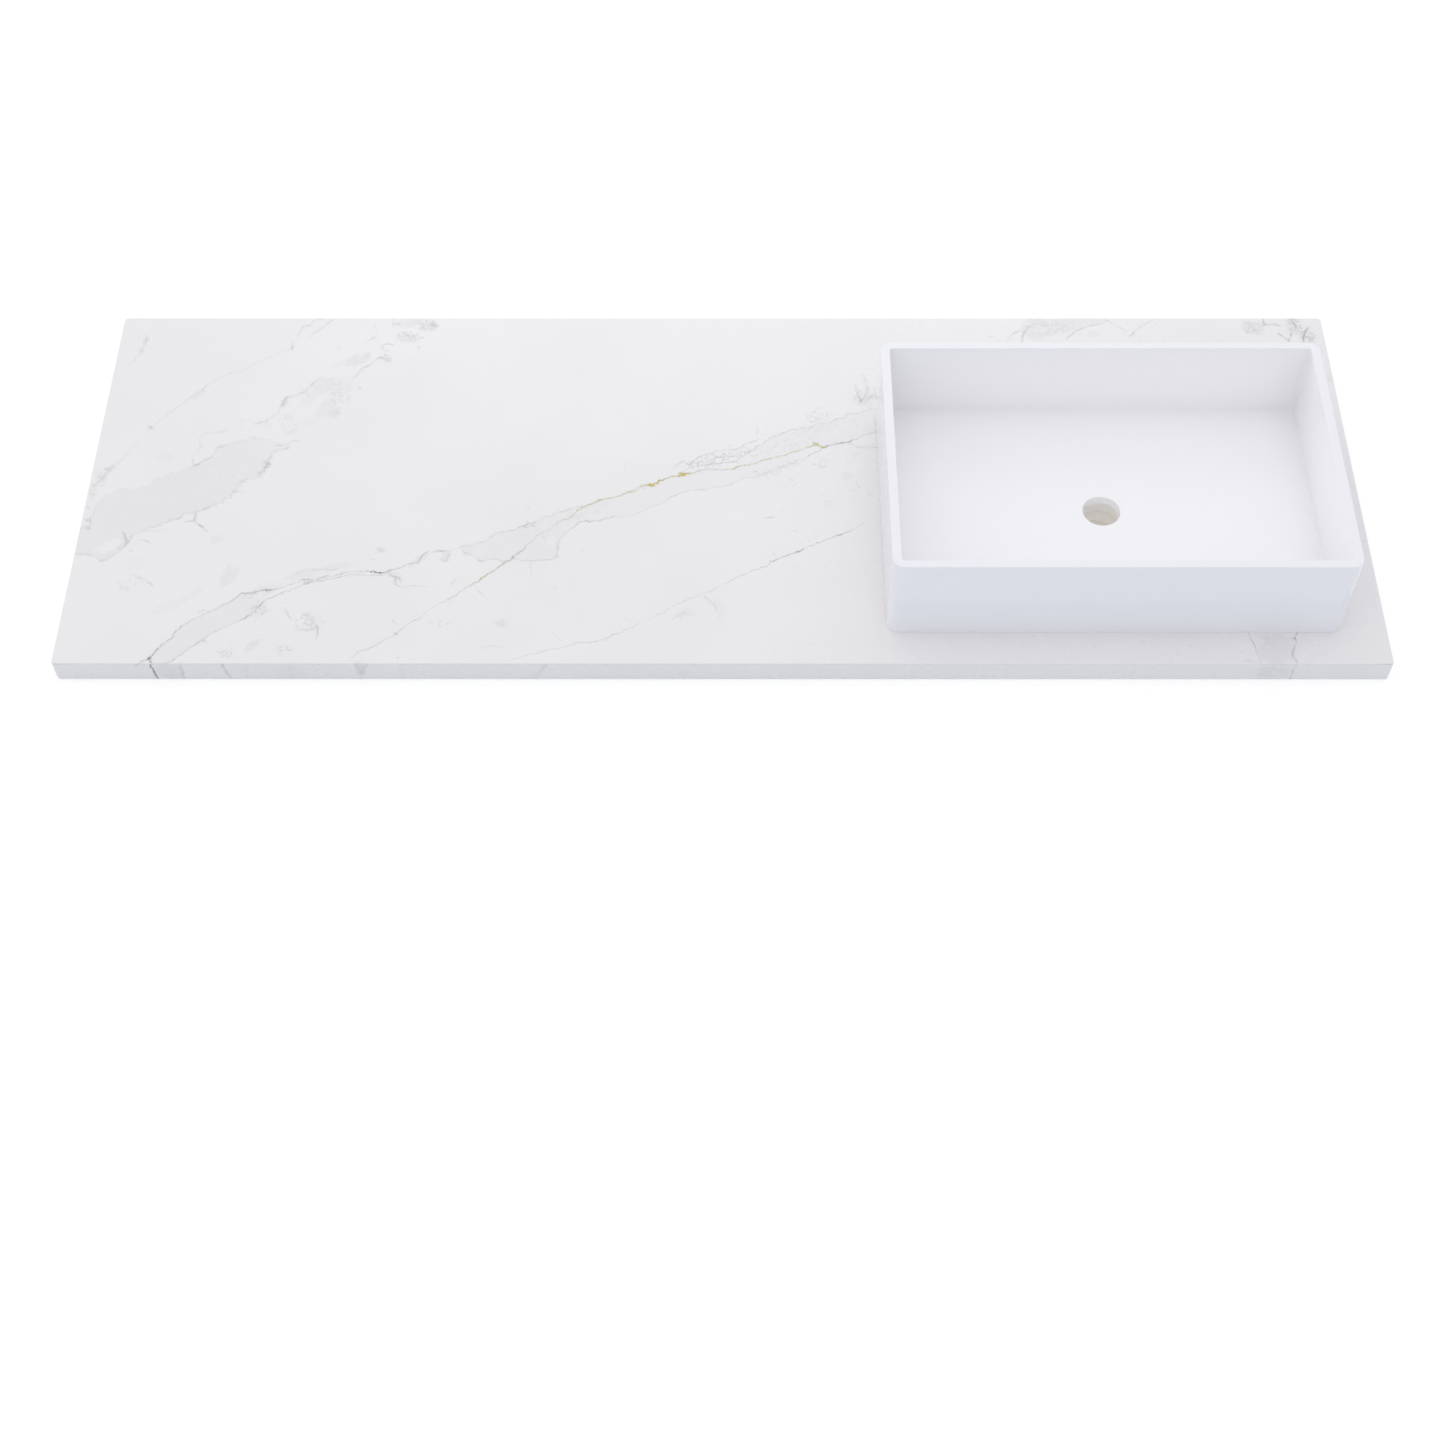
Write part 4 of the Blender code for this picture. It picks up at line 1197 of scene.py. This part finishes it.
def make_basin():
    """The basin: straight walls, flat floor, finely eased edges, foot and drain hole."""
    floor = TOP_HEIGHT + BASIN_FLOOR
    foot = BASIN_LOW - Vector((0, 0, BASIN_SETTLED))
    basin = rounded_block("glazed_basin", foot, BASIN_HIGH, BASIN_INNER_RADIUS + BASIN_WALL)
    select_faces(basin, level_at(BASIN_HIGH.z))
    bpy.ops.mesh.inset(thickness=BASIN_WALL, use_even_offset=True)
    bpy.ops.mesh.extrude_region_move(
        TRANSFORM_OT_translate={"value": (0, 0, floor - BASIN_HIGH.z)},
    )
    round_borders(basin, BASIN_HIGH.z, BASIN_EASING, EASING_SEGMENTS)
    round_borders(basin, floor, BASIN_FLOOR_RADIUS, EASING_SEGMENTS)
    round_borders(basin, foot.z, BASIN_FOOT_EASING, EASING_SEGMENTS)
    close_piece(basin)
    cut(basin, make_foot_recess())
    cut(basin, make_drain_cutter())
    shade(basin)
    return basin


# Glue in the mitres and joints


def glue_strip(name, start, end, inward, spread, thickness):
    """A flat strip of glue.

    It runs from start to end, reaches from there by the vector inward, and the vector spread,
    of length 1, points across its thickness.
    """
    start, end = Vector(start), Vector(end)
    inward, spread = Vector(inward), Vector(spread)
    run = end - start
    strip = add_block(name, (0, 0, 0), (1, 1, 1))
    bpy.ops.object.mode_set(mode="OBJECT")
    turn = Matrix((run, inward, spread * thickness)).transposed().to_4x4()
    strip.data.transform(Matrix.Translation(start) @ turn)
    bpy.ops.object.mode_set(mode="EDIT")
    close_piece(strip)
    return strip


def make_joint_glue():
    """Glue that fills the gaps between the panel, its aprons and the strip at the back."""
    width = APRON_THICKNESS - ARRIS_RADIUS
    thickness = GLUE_GAP - 2 * GLUE_CLEARANCE
    half = math.sqrt(0.5)
    set_back = 0.5 * ARRIS_RADIUS
    length = HALF_LENGTH - APRON_THICKNESS
    top = TOP_HEIGHT - set_back
    front = -HALF_DEPTH + set_back
    strips = []
    # Along the front: the mitre falls inward at 45 degrees, the gap lies below it
    down = Vector((0, -half, -half)) * GLUE_CLEARANCE
    strips.append(glue_strip(
        "front_mitre_glue", Vector((-length, front, top)) + down, Vector((length, front, top)) + down,
        (0, width, -width), (0, -half, -half), thickness,
    ))
    for side, name in ((-1, "left"), (1, "right")):
        end = side * (HALF_LENGTH - set_back)
        down = Vector((side * half, 0, -half)) * GLUE_CLEARANCE
        strips.append(glue_strip(
            f"{name}_mitre_glue",
            Vector((end, -HALF_DEPTH + APRON_THICKNESS, top)) + down,
            Vector((end, HALF_DEPTH - ARRIS_RADIUS, top)) + down,
            (-side * width, 0, -width), (side * half, 0, -half), thickness,
        ))
    strips.append(glue_strip(
        "back_strip_glue",
        (-length, HALF_DEPTH - APRON_THICKNESS, PANEL_UNDERSIDE - GLUE_GAP + GLUE_CLEARANCE),
        (length, HALF_DEPTH - APRON_THICKNESS, PANEL_UNDERSIDE - GLUE_GAP + GLUE_CLEARANCE),
        (0, APRON_THICKNESS - GLUE_CLEARANCE, 0), (0, 0, 1), thickness,
    ))
    return strips


# Camera, light and floor


def make_camera():
    """The camera at the photograph's viewpoint."""
    data = bpy.data.cameras.new("camera")
    data.sensor_width = SENSOR_WIDTH
    data.lens = FOCAL_LENGTH_PX / PHOTO_SIDE * SENSOR_WIDTH
    camera = bpy.data.objects.new("camera", data)
    turn = Matrix.Rotation(CAMERA_LEFT, 4, "Z")
    tilt = Matrix.Rotation(math.radians(90) - CAMERA_DOWN, 4, "X")
    roll = Matrix.Rotation(CAMERA_ROLL, 4, "Z")
    camera.matrix_world = Matrix.Translation(CAMERA_PLACE) @ turn @ tilt @ roll
    bpy.context.scene.collection.objects.link(camera)
    bpy.context.scene.camera = camera


# The sky's light at both heights. Spreads, the range and the rise are parts of the view direction
SKY_HIGH_LEFT = (1.030, 1.030, 1.030)
SKY_HIGH_RIGHT = (0.865, 0.872, 0.897)
SKY_LEFT = (1.08, 1.08, 1.09)
SKY_RIGHT = (0.80, 0.82, 0.87)
SKY_FRONT = (0.22, 0.30, 0.42)
SKY_HIGH_SPREAD = 0.7
SKY_LOW_SPREAD = 0.9
SKY_FRONT_RANGE = (-0.1, -0.7)
SKY_RISE = 0.36
LAMP_PLACE = Vector((0, 0.65, 0.5))
LAMP_AIM = Vector((0, 0.2, 0))
LAMP_WIDTH = 1.3
LAMP_DEPTH = 0.3
LAMP_POWER = 0.7

# What the floor and the board under the drain reflect, give as light and show to the camera
FLOOR_COLOUR = (0.82, 0.85, 0.88)
FLOOR_SEEN = (0.45, 0.45, 0.45)
FLOOR_GLOW = (0.62, 0.62, 0.62)
BOARD_RADIUS = 60 * MM
BOARD_COLOUR = (0.50, 0.485, 0.45)
BOARD_GLOW = (0.50, 0.492, 0.475)
BOARD_SEEN_PAINTED_SHADE = (0.21, 0.197, 0.176)


def make_sky():
    """Even studio light, weaker from the right and from low in front. To the camera it is white."""
    world = bpy.data.worlds.new("studio")
    world.use_nodes = True
    bpy.context.scene.world = world
    sky = Nodes(world.node_tree)
    background = world.node_tree.nodes["Background"]
    direction = sky.add("TexCoord", output="Generated")
    right, ahead, up = sky.split(direction)
    seen = sky.add("LightPath", output="Is Camera Ray")
    high = sky.mix(right.ease(-SKY_HIGH_SPREAD, SKY_HIGH_SPREAD), SKY_HIGH_LEFT, SKY_HIGH_RIGHT)
    low = sky.mix(right.ease(-SKY_LOW_SPREAD, SKY_LOW_SPREAD), SKY_LEFT, SKY_RIGHT)
    low = sky.mix(ahead.ease(*SKY_FRONT_RANGE), low, SKY_FRONT)
    light = sky.mix(up.ease(0, SKY_RISE), low, high)
    sky.feed(background.inputs["Color"], sky.mix(seen, light, (1, 1, 1)))
    background.inputs["Strength"].default_value = 1


def make_lamp():
    """A weak soft lamp behind and above, which brightens the back of the top a little."""
    data = bpy.data.lights.new("back_lamp", "AREA")
    data.shape = "RECTANGLE"
    data.size = LAMP_WIDTH
    data.size_y = LAMP_DEPTH
    data.energy = LAMP_POWER
    lamp = bpy.data.objects.new("back_lamp", data)
    turn = (LAMP_AIM - LAMP_PLACE).to_track_quat("-Z", "Y").to_matrix().to_4x4()
    lamp.matrix_world = Matrix.Translation(LAMP_PLACE) @ turn
    lamp.visible_camera = False
    lamp.visible_glossy = False
    bpy.context.scene.collection.objects.link(lamp)


def make_floor():
    """White floor that keeps the object's shadow, with a glowing beige board under the drain.

    The board is no lamp, but its glow lights the bore from below; to the camera it shows a darker glow,
    painted shade at the foot of the hole.
    """
    bpy.ops.object.select_all(action="DESELECT")
    bpy.ops.mesh.primitive_plane_add(size=2 * FLOOR_HALF_SIZE, location=(0, 0, -FLOOR_DROP))
    floor = bpy.context.object
    floor.name = "floor"
    nodes = Finish("pale_floor", roughness=1, specular_ior_level=0, emission_strength=1)
    nodes.material.cycles.emission_sampling = "NONE"
    reach = nodes.vector("DISTANCE", nodes.place(), (*DRAIN.xy, -FLOOR_DROP), output="Value")
    board = reach < BOARD_RADIUS
    rays = ("Is Camera Ray", "Is Glossy Ray", "Is Transmission Ray")
    camera, glossy, transmission = nodes.add("LightPath", output=rays)
    seen = camera.or_more(glossy).or_more(transmission)
    plain = nodes.mix(seen, FLOOR_COLOUR, FLOOR_SEEN)
    plain_glow = nodes.mix(seen, (0, 0, 0), FLOOR_GLOW)
    # The board glows as painted light for the bore, and shows the camera painted shade
    board_glow = nodes.mix(camera, BOARD_GLOW, BOARD_SEEN_PAINTED_SHADE)
    nodes.set(
        base_color=nodes.mix(board, plain, BOARD_COLOUR),
        emission_color=nodes.mix(board, plain_glow, board_glow),
    )
    floor.data.materials.append(nodes.material)


# The scene

bpy.context.scene.view_settings.view_transform = "Standard"
make_camera()
make_sky()
make_lamp()
make_floor()

stone = veined_stone()
ply_long = plywood("plywood_lengthwise", "X")
ply_cross = plywood("plywood_crosswise", "Y")
adhesive = cured_adhesive()
silicone = clear_silicone()

# Words in the CAD nodes' names and the finish that goes with each; the first that fits counts
FINISHES = (
    ("panel", stone), ("apron", stone), ("strip", stone), ("front_batten", ply_long),
    ("back_batten", ply_long), ("batten", ply_cross), ("adhesive", adhesive), ("seal", silicone),
)

for name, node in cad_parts.items():
    for word, material in FINISHES:
        if word in name:
            for material_slot in node.material_slots:
                material_slot.material = material
            break

finish_piece(make_basin(), basin_glaze(), "basin_glaze", "basin")
glue = joint_glue()
for strip in make_joint_glue():
    finish_piece(strip, glue, "adhesive")
